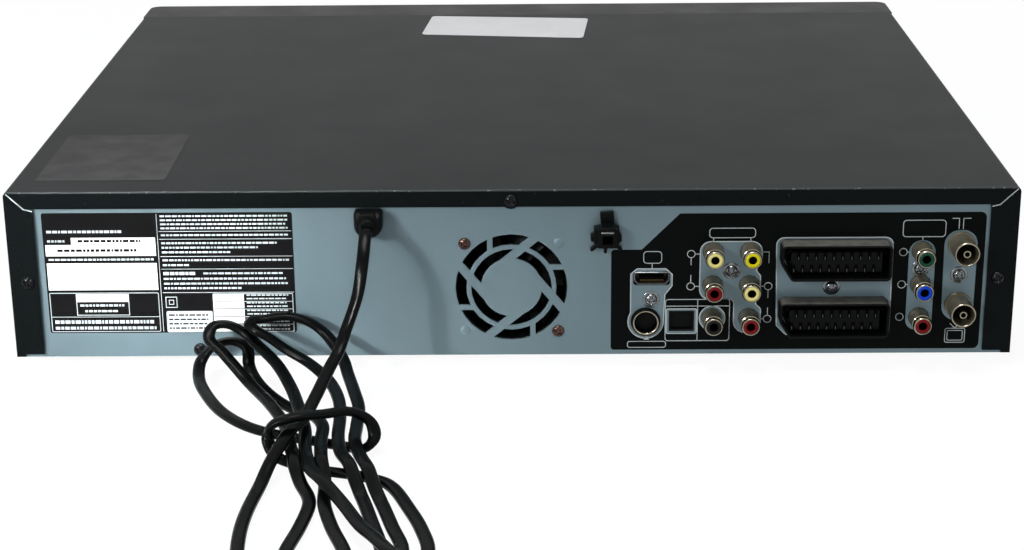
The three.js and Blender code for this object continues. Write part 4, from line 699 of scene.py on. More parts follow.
def carried(outline: np.ndarray, profile: Sequence[Sequence[float]], axis: Axis,
            finish: Finish | Sequence[Finish]) -> Shape:
    """Carries an outline along an axis: each step of the profile makes it one closed ring.

    Args:
        outline: the outline in the other two axes.
        profile: pairs of a margin, by which the outline moves inwards, and a level.
        axis: the direction that it is carried in.
        finish: one finish, or one for each band between two rings.

    Returns:
        The closed shape.
    """
    rings = [stand(inset(outline, margin), np.full(len(outline), level), axis)
             for margin, level in profile]
    return skin(np.stack(rings), finish)


def prism(outline: np.ndarray, ends: Sequence[float], axis: Axis, finish: Finish,
          edge: float = 0.3) -> Shape:
    """Carries an outline along an axis and rounds its two end edges.

    Args:
        outline: the outline in the other two axes.
        ends: where it starts and stops.
        axis: the direction that it is carried in.
        finish: its finish.
        edge: the radius of the edges; the rings near an end follow a quarter circle.

    Returns:
        The closed shape.
    """
    low, high = sorted(ends)
    edge = min(edge, (high - low) / 2.2)
    turn = np.linspace(0, np.pi / 2, 4)
    rise, shrink = edge * (1 - np.cos(turn)), edge * (1 - np.sin(turn))
    levels = np.concatenate([low + rise, (high - rise)[::-1]])
    margins = np.concatenate([shrink, shrink[::-1]])
    return carried(outline, np.stack([margins, levels], -1), axis, finish)


def box(x: Sequence[float], y: Sequence[float], z: Sequence[float], finish: Finish,
        edge: float = 0.3, corner: float = 0.5) -> Shape:
    """Makes a box with rounded edges between pairs of coordinates."""
    return prism(rectangle(x, z, corner, 3), y, Axis.Y, finish, edge)


def sheet(outlines: Sequence[np.ndarray], ends: Sequence[float], axis: Axis, finish: Finish
          ) -> Shape:
    """Fills an outline, less the outlines inside it, and gives it a thickness.

    Args:
        outlines: the outer outline and then its holes.
        ends: where the sheet's two faces lie.
        axis: the direction that it faces.
        finish: its finish.

    Returns:
        The closed shape.
    """
    low, high = sorted(ends)
    flat = np.concatenate(outlines)
    count = len(flat)
    triangles = tessellate_polygon([[Vector((*p, 0)) for p in one] for one in outlines])
    points = np.concatenate([stand(flat, np.full(count, low), axis),
                             stand(flat, np.full(count, high), axis)])
    faces: list[Sequence[int]] = [tuple(t) for t in triangles]
    faces += [tuple(i + count for i in t[::-1]) for t in triangles]
    start = 0
    for one in outlines:
        i = np.arange(len(one))
        j = (i + 1) % len(one)
        faces += (start + np.stack([i, j, j + count, i + count], -1)).tolist()
        start += len(one)
    return Shape(points, faces, [finish] * len(faces))


def frame_line(outline: np.ndarray, width: float, ends: Sequence[float], finish: Finish) -> Shape:
    """Makes a thin printed line that follows a closed outline on the rear panel."""
    return sheet([outline, inset(outline, width)[::-1]], ends, Axis.Y, finish)


def stroke(start: Sequence[float], end: Sequence[float], width: float, ends: Sequence[float],
           finish: Finish) -> Shape:
    """Makes a straight printed line between two points of the rear panel.

    Args:
        start: the x and z of one end.
        end: the x and z of the other end.
        width: the line's width, half on each side.
        ends: the y of its two faces.
        finish: its finish.

    Returns:
        The closed shape.
    """
    a, b = np.asarray(start, float), np.asarray(end, float)
    along = (b - a) / np.linalg.norm(b - a)
    side = np.array([-along[1], along[0]]) * width / 2
    return sheet([np.array([a - side, b - side, b + side, a + side])], ends, Axis.Y, finish)


def smooth_faces(mesh: bpy.types.Mesh, angle: float) -> None:
    """Shades a mesh smoothly, with edges sharper than an angle left crisp."""
    mesh.polygons.foreach_set("use_smooth", np.ones(len(mesh.polygons), bool))
    mesh.set_sharp_from_angle(angle=math.radians(angle))


def make_piece(name: str, shape: Shape, body: str = BODY_CASE, replaces: Sequence[str] = (),
               origin: np.ndarray = CASE_ORIGIN,
               crisp: float = SHARP_ANGLE) -> bpy.types.Object:
    """Turns a shape into a piece that rides on a body.

    Args:
        name: the piece's name.
        shape: its mesh in millimetres.
        body: the body that it moves with.
        replaces: the nodes that it stands for.
        origin: what the shape is measured from, in millimetres of the frame.
        crisp: degrees between faces above which an edge stays sharp.

    Returns:
        The piece.
    """
    mesh = bpy.data.meshes.new(name)
    mesh.from_pydata(((shape.points + origin) * METRE).tolist(), [], shape.faces)
    kinds = list(dict.fromkeys(shape.finishes))
    for kind in kinds:
        mesh.materials.append(kind.material())
    places = {kind: i for i, kind in enumerate(kinds)}
    mesh.polygons.foreach_set("material_index", [places[f] for f in shape.finishes])
    if shape.lanes is not None:
        layer = mesh.uv_layers.new(name="lanes")
        loops = np.empty(len(mesh.loops), np.int32)
        mesh.loops.foreach_get("vertex_index", loops)
        layer.data.foreach_set("uv", shape.lanes[loops].astype(np.float32).ravel())
    work = bmesh.new()
    work.from_mesh(mesh)
    bmesh.ops.recalc_face_normals(work, faces=work.faces)
    work.to_mesh(mesh)
    work.free()
    smooth_faces(mesh, crisp)
    mesh.update()
    return settle(name, mesh, body, replaces)


def settle(name: str, mesh: bpy.types.Mesh, body: str, replaces: Sequence[str]) -> bpy.types.Object:
    """Links a mesh into the scene, puts it on its body and hides the nodes that it stands for.

    Args:
        name: the piece's name.
        mesh: its mesh, in metres of the frame.
        body: the body that it moves with.
        replaces: the nodes that it stands for.

    Returns:
        The piece.
    """
    piece = bpy.data.objects.new(name, mesh)
    bpy.context.scene.collection.objects.link(piece)
    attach(piece, body)
    if replaces:
        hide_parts(*replaces)
    COUNTS[name] = len(mesh.polygons)
    LOG.info("%s: %d faces on %s", name, len(mesh.polygons), body)
    return piece


def soften(frame: dict, node: str, finish: Finish, width: float,
           body: str = BODY_CASE) -> None:
    """Stands a copy of a node, with rounded edges, in its place.

    The node's loose triangles are merged and its flat faces made whole first, and the edges
    are rounded in two spans.

    Args:
        frame: the loaded frame.
        node: the node that is copied.
        finish: the copy's finish.
        width: how wide its edges are rounded, in millimetres.
        body: the body that it moves with.
    """
    mesh = frame["nodes"][node].data.copy()
    mesh.name = f"{node}_soft"
    work = bmesh.new()
    work.from_mesh(mesh)
    bmesh.ops.remove_doubles(work, verts=work.verts, dist=2e-6)
    bmesh.ops.dissolve_limit(work, angle_limit=math.radians(0.6), verts=work.verts,
                             edges=work.edges)
    work.to_mesh(mesh)
    work.free()
    mesh.materials.clear()
    mesh.materials.append(finish.material())
    mesh.polygons.foreach_set("material_index", np.zeros(len(mesh.polygons), np.int32))
    smooth_faces(mesh, SHARP_ANGLE)
    bevel = settle(mesh.name, mesh, body, [node]).modifiers.new("edges", "BEVEL")
    bevel.width = width * METRE
    bevel.segments = 2
    bevel.limit_method = "ANGLE"
    bevel.angle_limit = math.radians(40)
    bevel.use_clamp_overlap = True


def coat_node(frame: dict, node: str, finish: Finish) -> None:
    """Gives a node that stays in view a finish of its own.

    Args:
        frame: the loaded frame.
        node: the node's name.
        finish: its finish.
    """
    mesh = frame["nodes"][node].data
    mesh.materials.clear()
    mesh.materials.append(finish.material())


# Fasteners


class Drive(Enum):
    """What a screwdriver finds in a screw's head."""

    CROSS = "cross"
    SLOTTED_CROSS = "slotted cross"


@dataclass(frozen=True)
class Screw:
    """A pan-head screw seated on a plane across y.

    The cross's arm, its half width and the slot's reach are shares of the radius, and the
    depth of both is a share of the height. The washer is a radius, or zero for none.
    """

    radius: float
    height: float
    finish: Finish
    drive: Drive
    washer: float = 0.0
    arm: float = 0.62
    arm_half_width: float = 0.17
    slot_reach: float = 0.95
    slot_share: float = 0.6
    sunk: float = 0.5
    washer_step: float = 0.4

    def bar(self, across: np.ndarray, along: np.ndarray, reach: float) -> np.ndarray:
        """Presses one bar of the cross: one well inside it, easing to zero past its sides.

        Args:
            across: distances from the bar's middle line.
            along: distances along it.
            reach: half its length.

        Returns:
            The share of the full depth at each point.
        """
        width = self.arm_half_width * self.radius
        inside = np.clip((width * 1.35 - across) / (width * 0.5), 0, 1)
        return inside * np.clip((reach - along) / (0.15 * reach), 0, 1)

    def shape(self, place: Sequence[float], seat: float, turn: float) -> Shape:
        """Makes the head: a dome over polar steps, sunk where the cross is.

        At a share s of its radius the dome stands at its height times the root of
        1 - 0.985 * s ** 2.6.

        Args:
            place: its x and z.
            seat: the y of the plane that it sits on.
            turn: degrees that the cross is turned by.

        Returns:
            The closed head, with its washer if it has one.
        """
        share = np.array([1.0, 1.0, 0.97, 0.9, 0.8, 0.68, 0.57, 0.48, 0.4, 0.32, 0.24, 0.16,
                          0.08, 0.02])
        dome = self.height * np.sqrt(np.clip(1 - share ** 2.6 * 0.985, 0, 1))
        dome[0] = -0.15
        flat = self.radius * share[:, None, None] * circle((0, 0), 1.0, 48)
        c, s = math.cos(math.radians(turn)), math.sin(math.radians(turn))
        u, v = np.abs(flat @ (c, s)), np.abs(flat @ (-s, c))
        arm = self.arm * self.radius
        cross = np.maximum(self.bar(u, v, arm), self.bar(v, u, arm))
        if self.drive is Drive.SLOTTED_CROSS:
            slot = self.bar(u, v, self.slot_reach * self.radius)
            cross = np.maximum(cross, self.slot_share * slot)
        cross[:2] = 0
        level = dome[:, None] - self.sunk * self.height * cross
        centre = np.array([place[0], seat, place[1]])
        head = skin(stand(flat, level, Axis.Y) + centre, self.finish)
        if not self.washer:
            return head
        rim = self.washer
        ring = [(0.5, -0.1), (rim, -0.1), (rim, 0.25), (rim - 0.2, 0.42),
                (self.radius * 0.9, 0.5), (0.5, 0.5)]
        return joined(head.moved((0, self.washer_step, 0)), turned([(self.finish, ring)], centre))


# Casing


@dataclass
class Casing:
    """Painted cover, zinc rear panel and chassis, feet, and what is stuck on the cover."""

    width: float = 430.0
    depth: float = 343.2
    height: float = 74.6
    foot_inset: Point = (50.0, 45.0)
    foot_radii: Point = (14.0, 12.5)
    top_screw: Point = (0.0, 69.9)
    side_screw: Point = (207.5, 34.2)
    low_screw: Point = (135.2, 2.6)
    sticker: tuple[Point, ...] = ((48.3, -340.0), (-40.6, -331.4), (-36.7, -282.5), (52.2, -293.6))
    patch: tuple[Point, Point] = ((149.0, 205.0), (-90.0, -17.0))
    mitre: tuple[Point, ...] = ((213.7, 73.9), (206.5, 67.0), (203.2, 66.2))

    def build_feet(self) -> None:
        """Turns the four rubber feet, each dished underneath."""
        x, y = self.width / 2 - self.foot_inset[0], self.foot_inset[1]
        top, low = self.foot_radii
        profile = [(0.02, 3.0), (1.7, 3.0), (1.7, -0.3), (top - 0.8, -0.3), (top, -0.9),
                   (top - 0.2, -2.0), (low + 0.4, -4.6), (low - 0.2, -5.3), (low - 0.9, -5.5),
                   (8.2, -5.5), (7.0, -5.0), (6.0, -3.5), (0.02, -3.5)]
        for side, across in (("left", -x), ("right", x)):
            for end, along in (("front", y - self.depth), ("rear", -y)):
                pad = turned([(RUBBER, profile)], (across, along, 0.0), Axis.Z)
                make_piece(f"foot_{end}_{side}_pad", pad, replaces=[f"foot_{end}_{side}"])

    def build_screws(self) -> None:
        """Puts the cover's and panel's black screws in."""
        black = Screw(2.85, 1.9, BLACK_SCREW, Drive.SLOTTED_CROSS)
        x, z = self.side_screw
        for name, place in (("top", self.top_screw), ("left", (-x, z)), ("right", (x, z))):
            make_piece(f"cover_screw_{name}_head", black.shape(place, 0.0, 12.0 + place[0]),
                       replaces=[f"cover_screw_{name}"])
        low = Screw(3.0, 2.2, GLOSSY_SCREW, Drive.CROSS)
        make_piece("panel_screw_low_head", low.shape(self.low_screw, PANEL_FACE, 35.0),
                   replaces=["panel_screw_low"])

    def build_stickers(self) -> None:
        """Lays the bare paper sticker and the darker patch on top of the cover."""
        low = self.height + 0.01
        paper = rounded(self.sticker, 2.6, 5)
        make_piece("paper_sticker", sheet([paper], (low, low + 0.15), Axis.Z, STICKER))
        dark = rectangle(*self.patch, 2.0)
        make_piece("dark_patch", sheet([dark], (low, low + 0.06), Axis.Z, PATCH))

    def build_bare_edge(self) -> None:
        """Draws the bare metal that shows along the cuts of both mitres."""
        strips = [stroke((side * a[0], a[1]), (side * b[0], b[1]), 0.4, (0.0, 0.06), PALE_INK)
                  for side in (-1, 1) for a, b in zip(self.mitre, self.mitre[1:])]
        make_piece("bare_mitre_edges", joined(*strips))

    def build(self, frame: dict) -> None:
        """Builds and dresses the casing.

        Args:
            frame: the loaded frame, with the plain sheets that get soft edges and paint.
        """
        soften(frame, "top_cover", COVER, 0.3)
        soften(frame, "rear_panel", ZINC, 0.3)
        coat_node(frame, "bottom_chassis", ZINC)
        self.build_bare_edge()
        self.build_feet()
        self.build_screws()
        self.build_stickers()


# Print on the rear panel


@dataclass
class RearPrint:
    """The printed block round the sockets, and the plate of plain fields, rules and bars.

    Ground, lines, fields and marks are layers, each given by the y of its two faces.
    """

    ground: Point = (PANEL_FACE - 0.02, PANEL_FACE + 0.05)
    lines: Point = (PANEL_FACE + 0.04, PANEL_FACE + 0.09)
    fields: Point = (PANEL_FACE + 0.04, PANEL_FACE + 0.08)
    marks: Point = (PANEL_FACE + 0.07, PANEL_FACE + 0.11)
    line_width: float = 0.32
    edge_width: float = 0.45
    frame_width: float = 0.3
    rule_width: float = 0.22
    unedged: tuple[str, ...] = ("component", "aerial")
    plate_row: float = 3.5
    bar_lengths: Point = (0.7, 2.6)
    bar_gap: float = 0.45
    least_bar: float = 0.6
    bars_drawn: int = 110
    seed: int = 7

    def windows(self) -> dict[str, np.ndarray]:
        """Gives the outlines where the sheet is left bare round the sockets.

        Returns:
            The outlines by the name of their socket.
        """
        arc = np.radians(np.linspace(180, 391.6, 24))
        video = np.concatenate([
            [(-51.4, 36.2), (-53.9, 38.4), (-66.0, 38.4), (-68.6, 36.0), (-68.6, 31.0),
             (-65.6, 27.0)],
            np.array([-57.7, 14.6]) + 7.4 * np.stack([np.cos(arc), np.sin(arc)], -1)])
        audio = rounded([(-80.9, 50.5), (-106.8, 50.5), (-106.8, 41.0), (-103.4, 38.2),
                         (-106.4, 35.4), (-106.4, 26.0), (-103.0, 23.2), (-106.8, 20.4),
                         (-106.8, 9.6), (-95.7, 9.6), (-95.7, 24.9), (-80.9, 24.9)],
                        [4.2, 4.2, 2.0, 2.4, 2.0, 2.0, 2.4, 2.0, 5.0, 5.0, 2.2, 4.2])
        multipin = rounded([(-113.2, 52.1), (-162.3, 52.1), (-162.3, 8.6), (-118.2, 8.6),
                            (-114.2, 12.6)], [3.0, 3.0, 1.0, 1.0, 2.0])
        component = rounded([(-169.4, 50.9), (-180.7, 50.9), (-180.7, 10.2), (-169.4, 10.2)],
                            [5.4, 5.4, 4.6, 4.6])
        aerial = rounded([(-184.2, 55.4), (-198.4, 55.4), (-198.2, 14.6), (-184.6, 14.6)], 6.4)
        return {"video": video, "audio": audio, "multipin": multipin, "component": component,
                "aerial": aerial, "optical": rectangle((-66.8, -79.3), (9.3, 20.1), 0.5),
                "coaxial": circle((-86.3, 16.0), 5.3)}

    def block(self) -> Shape:
        """Makes the black block round the sockets, open at its windows.

        Returns:
            The block as one thin sheet.
        """
        edge = rounded([(-42.7, 1.6), (-42.7, 47.3), (-55.7, 47.3), (-71.8, 63.4),
                        (-201.5, 63.4), (-201.5, 1.6)], [1.5, 1.5, 0.8, 1.2, 2.5, 2.5])
        return sheet([edge, *self.windows().values()], self.ground, Axis.Y, INK)

    def frames(self) -> Shape:
        """Draws the pale line frames that lead from one socket to its neighbour.

        Returns:
            The frames, dots, window edges and lines as one shape.
        """
        frames = ((-84.3, -104.1, 52.3, 56.9, 1.6), (-56.4, -64.4, 41.0, 46.6, 1.6),
                  (-49.8, -66.6, 2.5, 5.6, 1.2), (-66.0, -93.9, 5.5, 24.8, 1.4),
                  (-166.3, -184.6, 52.3, 60.0, 1.6), (-186.6, -195.4, 4.2, 11.0, 1.0),
                  (-187.6, -194.4, 5.2, 10.0, 0.5))
        dots = ((-76.8, 45.2), (-76.8, 30.6), (-110.0, 30.5), (-110.0, 15.6), (-167.0, 45.6),
                (-167.0, 31.0), (-166.8, 16.2))
        straight = (
            (-80.0, 24.8, -80.0, 5.5), (-66.0, 21.6, -93.9, 21.6), (-86.2, 52.3, -86.2, 50.6),
            (-102.0, 52.3, -102.0, 50.6), (-60.2, 41.0, -60.2, 38.6), (-175.0, 52.3, -175.0, 51.0),
            (-78.6, 45.2, -80.6, 45.2), (-78.6, 30.6, -80.6, 30.6), (-76.8, 43.4, -76.8, 40.2),
            (-76.8, 35.8, -76.8, 32.4), (-106.8, 30.5, -108.2, 30.5), (-106.8, 15.6, -108.2, 15.6),
            (-110.0, 28.7, -110.0, 25.2), (-110.0, 20.8, -110.0, 17.4),
            (-106.8, 46.0, -110.0, 46.0), (-110.0, 46.0, -110.0, 41.0),
            (-168.8, 45.6, -169.6, 45.6), (-168.8, 31.0, -169.6, 31.0),
            (-190.0, 60.6, -190.0, 55.8), (-191.8, 60.6, -191.8, 55.8),
            (-190.0, 60.6, -187.0, 60.6), (-191.8, 60.6, -195.0, 60.6),
            (-190.8, 11.0, -188.6, 13.2), (-190.8, 11.0, -193.0, 13.2))
        closed = [rectangle((x0, x1), (z0, z1), corner) for x0, x1, z0, z1, corner in frames]
        closed += [circle(place, 1.8, 24) for place in dots]
        shapes = [frame_line(one, self.line_width, self.lines, PALE_INK) for one in closed]
        # The bare windows carry the same pale edge
        shapes += [frame_line(inset(one, -self.edge_width), self.edge_width, self.lines, PALE_INK)
                   for name, one in self.windows().items() if name not in self.unedged]
        shapes += [stroke((x0, z0), (x1, z1), self.line_width, self.lines, PALE_INK)
                   for x0, z0, x1, z1 in straight]
        pointer = np.array([(-56.9, 6.3), (-59.3, 6.3), (-58.1, 7.7)])
        return joined(*shapes, sheet([pointer], self.lines, Axis.Y, FIELD_INK))

    def dashes(self, x: Sequence[float], z: float, height: float, random: np.random.Generator,
               finish: Finish) -> list[Shape]:
        """Fills a line with short plain bars of uneven lengths and even gaps.

        Args:
            x: where the line starts and stops.
            z: the line's middle.
            height: how tall the bars are.
            random: the seeded source of their lengths.
            finish: their finish.

        Returns:
            The bars.
        """
        high, low = max(x), min(x)
        lengths = random.uniform(*self.bar_lengths, self.bars_drawn)
        starts = high - np.concatenate([[0], np.cumsum(lengths + self.bar_gap)[:-1]])
        keep = starts - self.least_bar > low
        return [sheet([rectangle((max(a - length, low), a), (z - height / 2, z + height / 2))],
                      self.marks, Axis.Y, finish)
                for a, length in zip(starts[keep], lengths[keep])]

    def plate_fields(self) -> list[Shape]:
        """Lays the plate's dark ground and its blank fields, frames and rules.

        Returns:
            The shapes, with the ground first.
        """
        row, white, pale = self.plate_row, FIELD_INK, PALE_INK
        corner = np.array([(187.8, 53.9), (151.8, 53.9), (151.8, 45.7), (199.0, 45.7),
                           (199.0, 50.7), (187.8, 50.7)])
        fields = [(corner, white), (rectangle((199.0, 151.8), (30.2, 42.4)), white),
                  (rectangle((187.4, 165.0), (24.8, 28.2)), white),
                  (rectangle((148.6, 129.4), (11.0, 20.1), 0.6), pale)]
        fields += [(rectangle((128.3, 115.2), (25.1 - row * i, 28.2 - row * i)), white)
                   for i in range(5)]
        shapes = [sheet([rectangle((199.8, 92.9), (10.5, 65.0), 1.0)], self.ground, Axis.Y,
                        LABEL_INK)]
        shapes += [sheet([outline], self.fields, Axis.Y, ink) for outline, ink in fields]
        frames = ((199.0, 151.8, 11.0, 29.0, 0.6), (149.0, 144.0, 22.0, 27.0, 0.0),
                  (147.6, 145.4, 23.4, 25.6, 0.0), (149.0, 129.0, 10.7, 20.4, 0.8),
                  (128.6, 94.0, 10.7, 28.4, 0.5), (187.6, 164.8, 18.6, 28.4, 0.0))
        shapes += [frame_line(rectangle((x0, x1), (z0, z1), corner), self.frame_width, self.lines,
                              pale) for x0, x1, z0, z1, corner in frames]
        rules = [(150.7, 64.4, 150.7, 11.1)]
        rules += [(150.0, z, 93.5, z) for z in (56.6, 53.1, 45.3, 39.6, 28.9)]
        rules += [(199.0, 17.9, 151.8, 17.9)]
        rules += [(128.3, 28.2 - row * i, 94.2, 28.2 - row * i) for i in range(1, 5)]
        return shapes + [stroke((x0, z0), (x1, z1), self.rule_width, self.lines, pale)
                         for x0, z0, x1, z1 in rules]

    def rating_plate(self) -> Shape:
        """Makes the plate: a dark ground, blank fields, rules and rows of plain bars.

        Returns:
            The whole plate.
        """
        random = np.random.default_rng(self.seed)
        row = self.plate_row
        rows = [(95, z, 0.75) for z in (63.4, 61.6, 59.8, 58.0, 54.9)]
        rows += [(100, 51.3, 0.8), (108, 49.3, 0.8), (120, 47.2, 0.8), (95, 43.6, 0.8),
                 (138, 41.4, 0.8), (135, 37.6, 1.4)]
        bars = [(149.2, *one, PALE_INK) for one in rows]
        bars += [(132, 98, 37.6, 0.8, PALE_INK)]
        bars += [(149.2, end, z, 0.8, PALE_INK) for end, z in ((96, 35.2), (96, 33.0), (116, 30.9))]
        bars += [(198, 165, 56.6, 1.1, PALE_INK), (198, 190, 52.4, 0.9, PALE_INK),
                 (198, 153, 44.1, 0.8, PALE_INK), (197.4, 154, 15.6, 1.5, PALE_INK),
                 (197.4, 153, 12.8, 1.3, PALE_INK), (186, 167, 23.2, 0.9, PALE_INK),
                 (184, 169, 20.6, 0.9, PALE_INK)]
        bars += [(114, 96, 27.6 - row * i - 1.6 * j, 0.55, PALE_INK) for i in range(5)
                 for j in range(2)]
        bars += [(148, 131, 18.6 - 2.0 * i, 0.7, LABEL_INK) for i in range(4)]
        bars += [(185, 158, 52.4, 1.2, LABEL_INK), (194, 160, 48.2, 1.2, LABEL_INK)]
        shapes = self.plate_fields()
        for x0, x1, z, height, ink in bars:
            shapes += self.dashes((x0, x1), z, height, random, ink)
        return joined(*shapes)

    def build(self) -> None:
        """Builds the print as thin sheets that lie on the rear panel."""
        make_piece("socket_print", self.block())
        make_piece("socket_print_lines", self.frames())
        make_piece("rating_plate", self.rating_plate())


# Sockets


@dataclass
class SocketBank:
    """Everything that looks out through the rear panel."""

    phono_reach: float = 10.5
    phono_radius: float = 4.25
    housing_depth: float = 14.0
    housing_foot: float = 7.5
    component_column: float = -175.0
    coaxial: Point = (-86.2, 16.0)
    optical: Point = (-73.1, 14.8)
    optical_half: Point = (4.85, 4.0)
    round_video: Point = (-57.7, 14.6)
    flat_video: Point = (-60.1, 34.3)
    multipin_column: float = -137.9
    multipin_half: Point = (23.45, 8.1)
    multipin_slant: float = 4.6
    contact_pitch: float = 3.75
    tuner_column: float = -191.5
    aerials: Point = (48.8, 21.6)
    aerial_reach: float = 12.5
    aerial_radius: float = 5.3
    aerial_bore: float = 4.5
    aerial_pin: float = 1.8
    screws: tuple[tuple[float, float, float], ...] = (
        (-94.1, 37.6, 25), (-174.6, 38.3, 50), (-137.0, 30.2, 10), (-59.9, 24.8, 5),
        (-191.2, 35.3, 40))

    def housing(self, x: Sequence[float], z: Sequence[float], gap: float = 0.0) -> Shape:
        """Makes the plain black block that a socket has behind the panel."""
        y = (BEHIND_PANEL - self.housing_depth, BEHIND_PANEL - gap)
        return box(x, y, z, PLASTIC, 0.4)

    def phono(self, place: Sequence[float], insert: Finish) -> Shape:
        """Turns one phono jack: dull barrel, bright rolled collar, coloured ring and bore.

        Args:
            place: its x and z.
            insert: the finish of the coloured ring.

        Returns:
            The closed shape.
        """
        r, reach = self.phono_radius, self.phono_reach
        return turned([
            (NICKEL, [(r, BEHIND_PANEL - 0.3), (r, reach - 3.2), (r - 0.1, reach - 2.9)]),
            (BRIGHT, [(r - 0.42, reach - 2.7), (r - 0.42, reach - 2.3), (r - 0.16, reach - 2.1),
                      (r - 0.12, reach - 1.3), (r - 0.3, reach - 0.6), (r - 0.62, reach - 0.18),
                      (r - 0.95, reach - 0.1), (r - 1.05, reach - 0.35)]),
            (insert, [(r - 1.05, reach - 0.5), (r - 1.1, reach - 0.2), (r - 1.3, reach - 0.04),
                      (r - 1.9, reach), (r - 2.3, reach - 0.1), (r - 2.5, reach - 0.5)]),
            (HOLE, [(r - 2.55, reach - 1.0), (r - 2.55, 1.5), (0.02, 1.5)]),
        ], (place[0], 0, place[1]))

    def build_jacks(self) -> None:
        """Builds the audio, video and component jacks on their housings, and the screws."""
        foot = self.housing_foot
        colours = {(-86.2, 46): CREAM, (-86.2, 31): RED, (-102, 46): YELLOW, (-102, 31): CREAM,
                   (-102, 16): RED}
        make_piece("av_jacks", joined(
            self.housing((-109.3, -78.9), (23.7, 53.3)), self.housing((-109.3, -94.7), (foot, 31.0)),
            *[self.phono(place, colour) for place, colour in colours.items()]),
            replaces=["av_jack_block"])
        x = self.component_column
        make_piece("component_jacks", joined(
            self.housing((x - 7.3, x + 7.3), (foot, 53.3)),
            *[self.phono((x, z), colour) for z, colour in ((46, GREEN), (31, BLUE), (16, RED))]),
            replaces=["component_jack_block"])
        screw = Screw(2.7, 1.7, PLATED, Drive.CROSS, 3.7)
        heads = [screw.shape((x, z), PANEL_FACE, turn) for x, z, turn in self.screws]
        make_piece("socket_screws", joined(*heads))

    def build_digital_audio(self) -> None:
        """Builds the square optical mouth with its shutter, and the coaxial jack beside it."""
        x, z = self.optical
        half, tall = self.optical_half
        profile = ((0.55, BEHIND_PANEL), (0.55, -1.0), (0.3, -0.8), (0.0, -0.8), (-0.3, -1.1),
                   (-0.5, -4.6))
        mouth = [stand(rectangle((x - half - m, x + half + m), (z - tall - m, z + tall + m), 0.4, 3),
                       np.full(16, y), Axis.Y) for m, y in profile]
        shutter = rectangle((x - 1.6, x + 1.6), (z - 0.25, z + 0.25))
        make_piece("digital_audio_sockets", joined(
            self.housing((-94.4, -66.4), (self.housing_foot, 23.3), 0.1),
            skin(np.stack(mouth), [PLASTIC] * 4 + [HOLE]),
            sheet([shutter], (-4.62, -4.5), Axis.Y, PLASTIC), self.phono(self.coaxial, JACK_BLACK)),
            replaces=["digital_audio_block"])

    def build_round_video(self) -> None:
        """Builds the round video socket with four pins and a key on its floor."""
        x, z = self.round_video
        contacts = [circle((x + a, z + b), 0.55, 12) for a, b in (
            (-2.6, -1.4), (2.6, -1.4), (-1.9, 1.9), (1.9, 1.9))]
        contacts.append(rectangle((x - 1.4, x + 1.4), (z - 3.3, z - 2.3)))
        ring = turned([(PLASTIC, [(6.2, BEHIND_PANEL - 0.2), (6.2, 0.3), (5.9, 0.75), (5.5, 0.8)]),
                       (BRIGHT, [(5.1, 0.65), (4.95, 0.55), (4.8, 0.3), (4.75, -0.4)]),
                       (HOLE, [(4.75, -4.6), (0.02, -4.6)])], (x, 0, z), Axis.Y, 48)
        make_piece("round_video", joined(
            self.housing((x - 7.8, x + 7.8), (self.housing_foot, 30.9)), ring,
            *[sheet([one], (-4.61, -4.5), Axis.Y, CONTACT) for one in contacts]),
            replaces=["round_video_socket"])

    def build_flat_video(self) -> None:
        """Builds the flat video socket: a bent shell round a tongue with gilt fingers."""
        x, z = self.flat_video
        outline = rounded([(x - 5.9, z - 2.85), (x + 5.9, z - 2.85), (x + 7.6, z - 0.9),
                           (x + 7.6, z + 2.85), (x - 7.6, z + 2.85), (x - 7.6, z - 0.9)],
                          [0.6, 0.6, 0.6, 0.5, 0.5, 0.6], 3)
        profile = ((0, -14.6), (0, -1.3), (0.12, -1.15), (0.4, -1.15), (0.55, -1.4), (0.55, -9.0))
        fingers = [box((a - 0.22, a + 0.22), (-8.5, -1.8), (z - 1.05, z - 0.88), GOLD, 0.03, 0.03)
                   for a in np.linspace(x - 4.6, x + 4.6, 10)]
        make_piece("flat_video", joined(
            carried(outline, profile, Axis.Y, [PLATED] * 4 + [DULL]),
            box((x - 5.4, x + 5.4), (-9.2, -1.9), (z - 0.9, z + 0.6), HOLE, 0.2, 0.3), *fingers,
            box((x - 7.8, x + 7.8), (-14.6, BEHIND_PANEL), (31.2, 31.9), PLASTIC, 0.1, 0.1)),
            replaces=["digital_video_socket"])

    def multipin_socket(self, z: float, low: float, high: float) -> Shape:
        """Makes a multipin socket: one profile carried round its slanted outline.

        Args:
            z: the socket's middle.
            low: the underside of the housing behind the panel.
            high: the top of that housing.

        Returns:
            The shell, its block of contacts and the housing.
        """
        x, slant = self.multipin_column, self.multipin_slant
        half, tall = self.multipin_half
        outline = rounded([(x - half, z - tall), (x + half - slant, z - tall),
                           (x + half, z - tall + slant * 1.6), (x + half, z + tall),
                           (x - half, z + tall)], 2.2, 5)
        profile = ((0.0, BEHIND_PANEL - 0.3), (0.0, 6.4), (0.18, 6.85), (0.55, 7.0), (1.0, 6.95),
                   (1.25, 6.6), (1.3, 6.0), (1.3, -2.0), (3.5, -2.0), (3.5, 4.2), (3.7, 4.8),
                   (4.2, 5.0))
        shapes = [carried(outline, profile, Axis.Y, [SHELL] * 2 + [PLASTIC] * 9),
                  self.housing((x - 24.8, x + 24.8), (low, high))]
        for row, shift in ((z + 2.7, 0.0), (z - 2.7, 1.9)):
            for a in x - 17.6 + shift + self.contact_pitch * np.arange(10):
                # Each slot is a dark plate on the block's face: painted shade in place of a recess
                shapes.append(sheet([rectangle((a - 0.75, a + 0.75), (row - 1.75, row + 1.75))],
                                    (4.9, 5.03), Axis.Y, HOLE))
                shapes.append(box((a - 0.2, a + 0.2), (4.9, 5.12), (row - 1.5, row - 0.1), CONTACT,
                                  0.03, 0.03))
        return joined(*shapes)

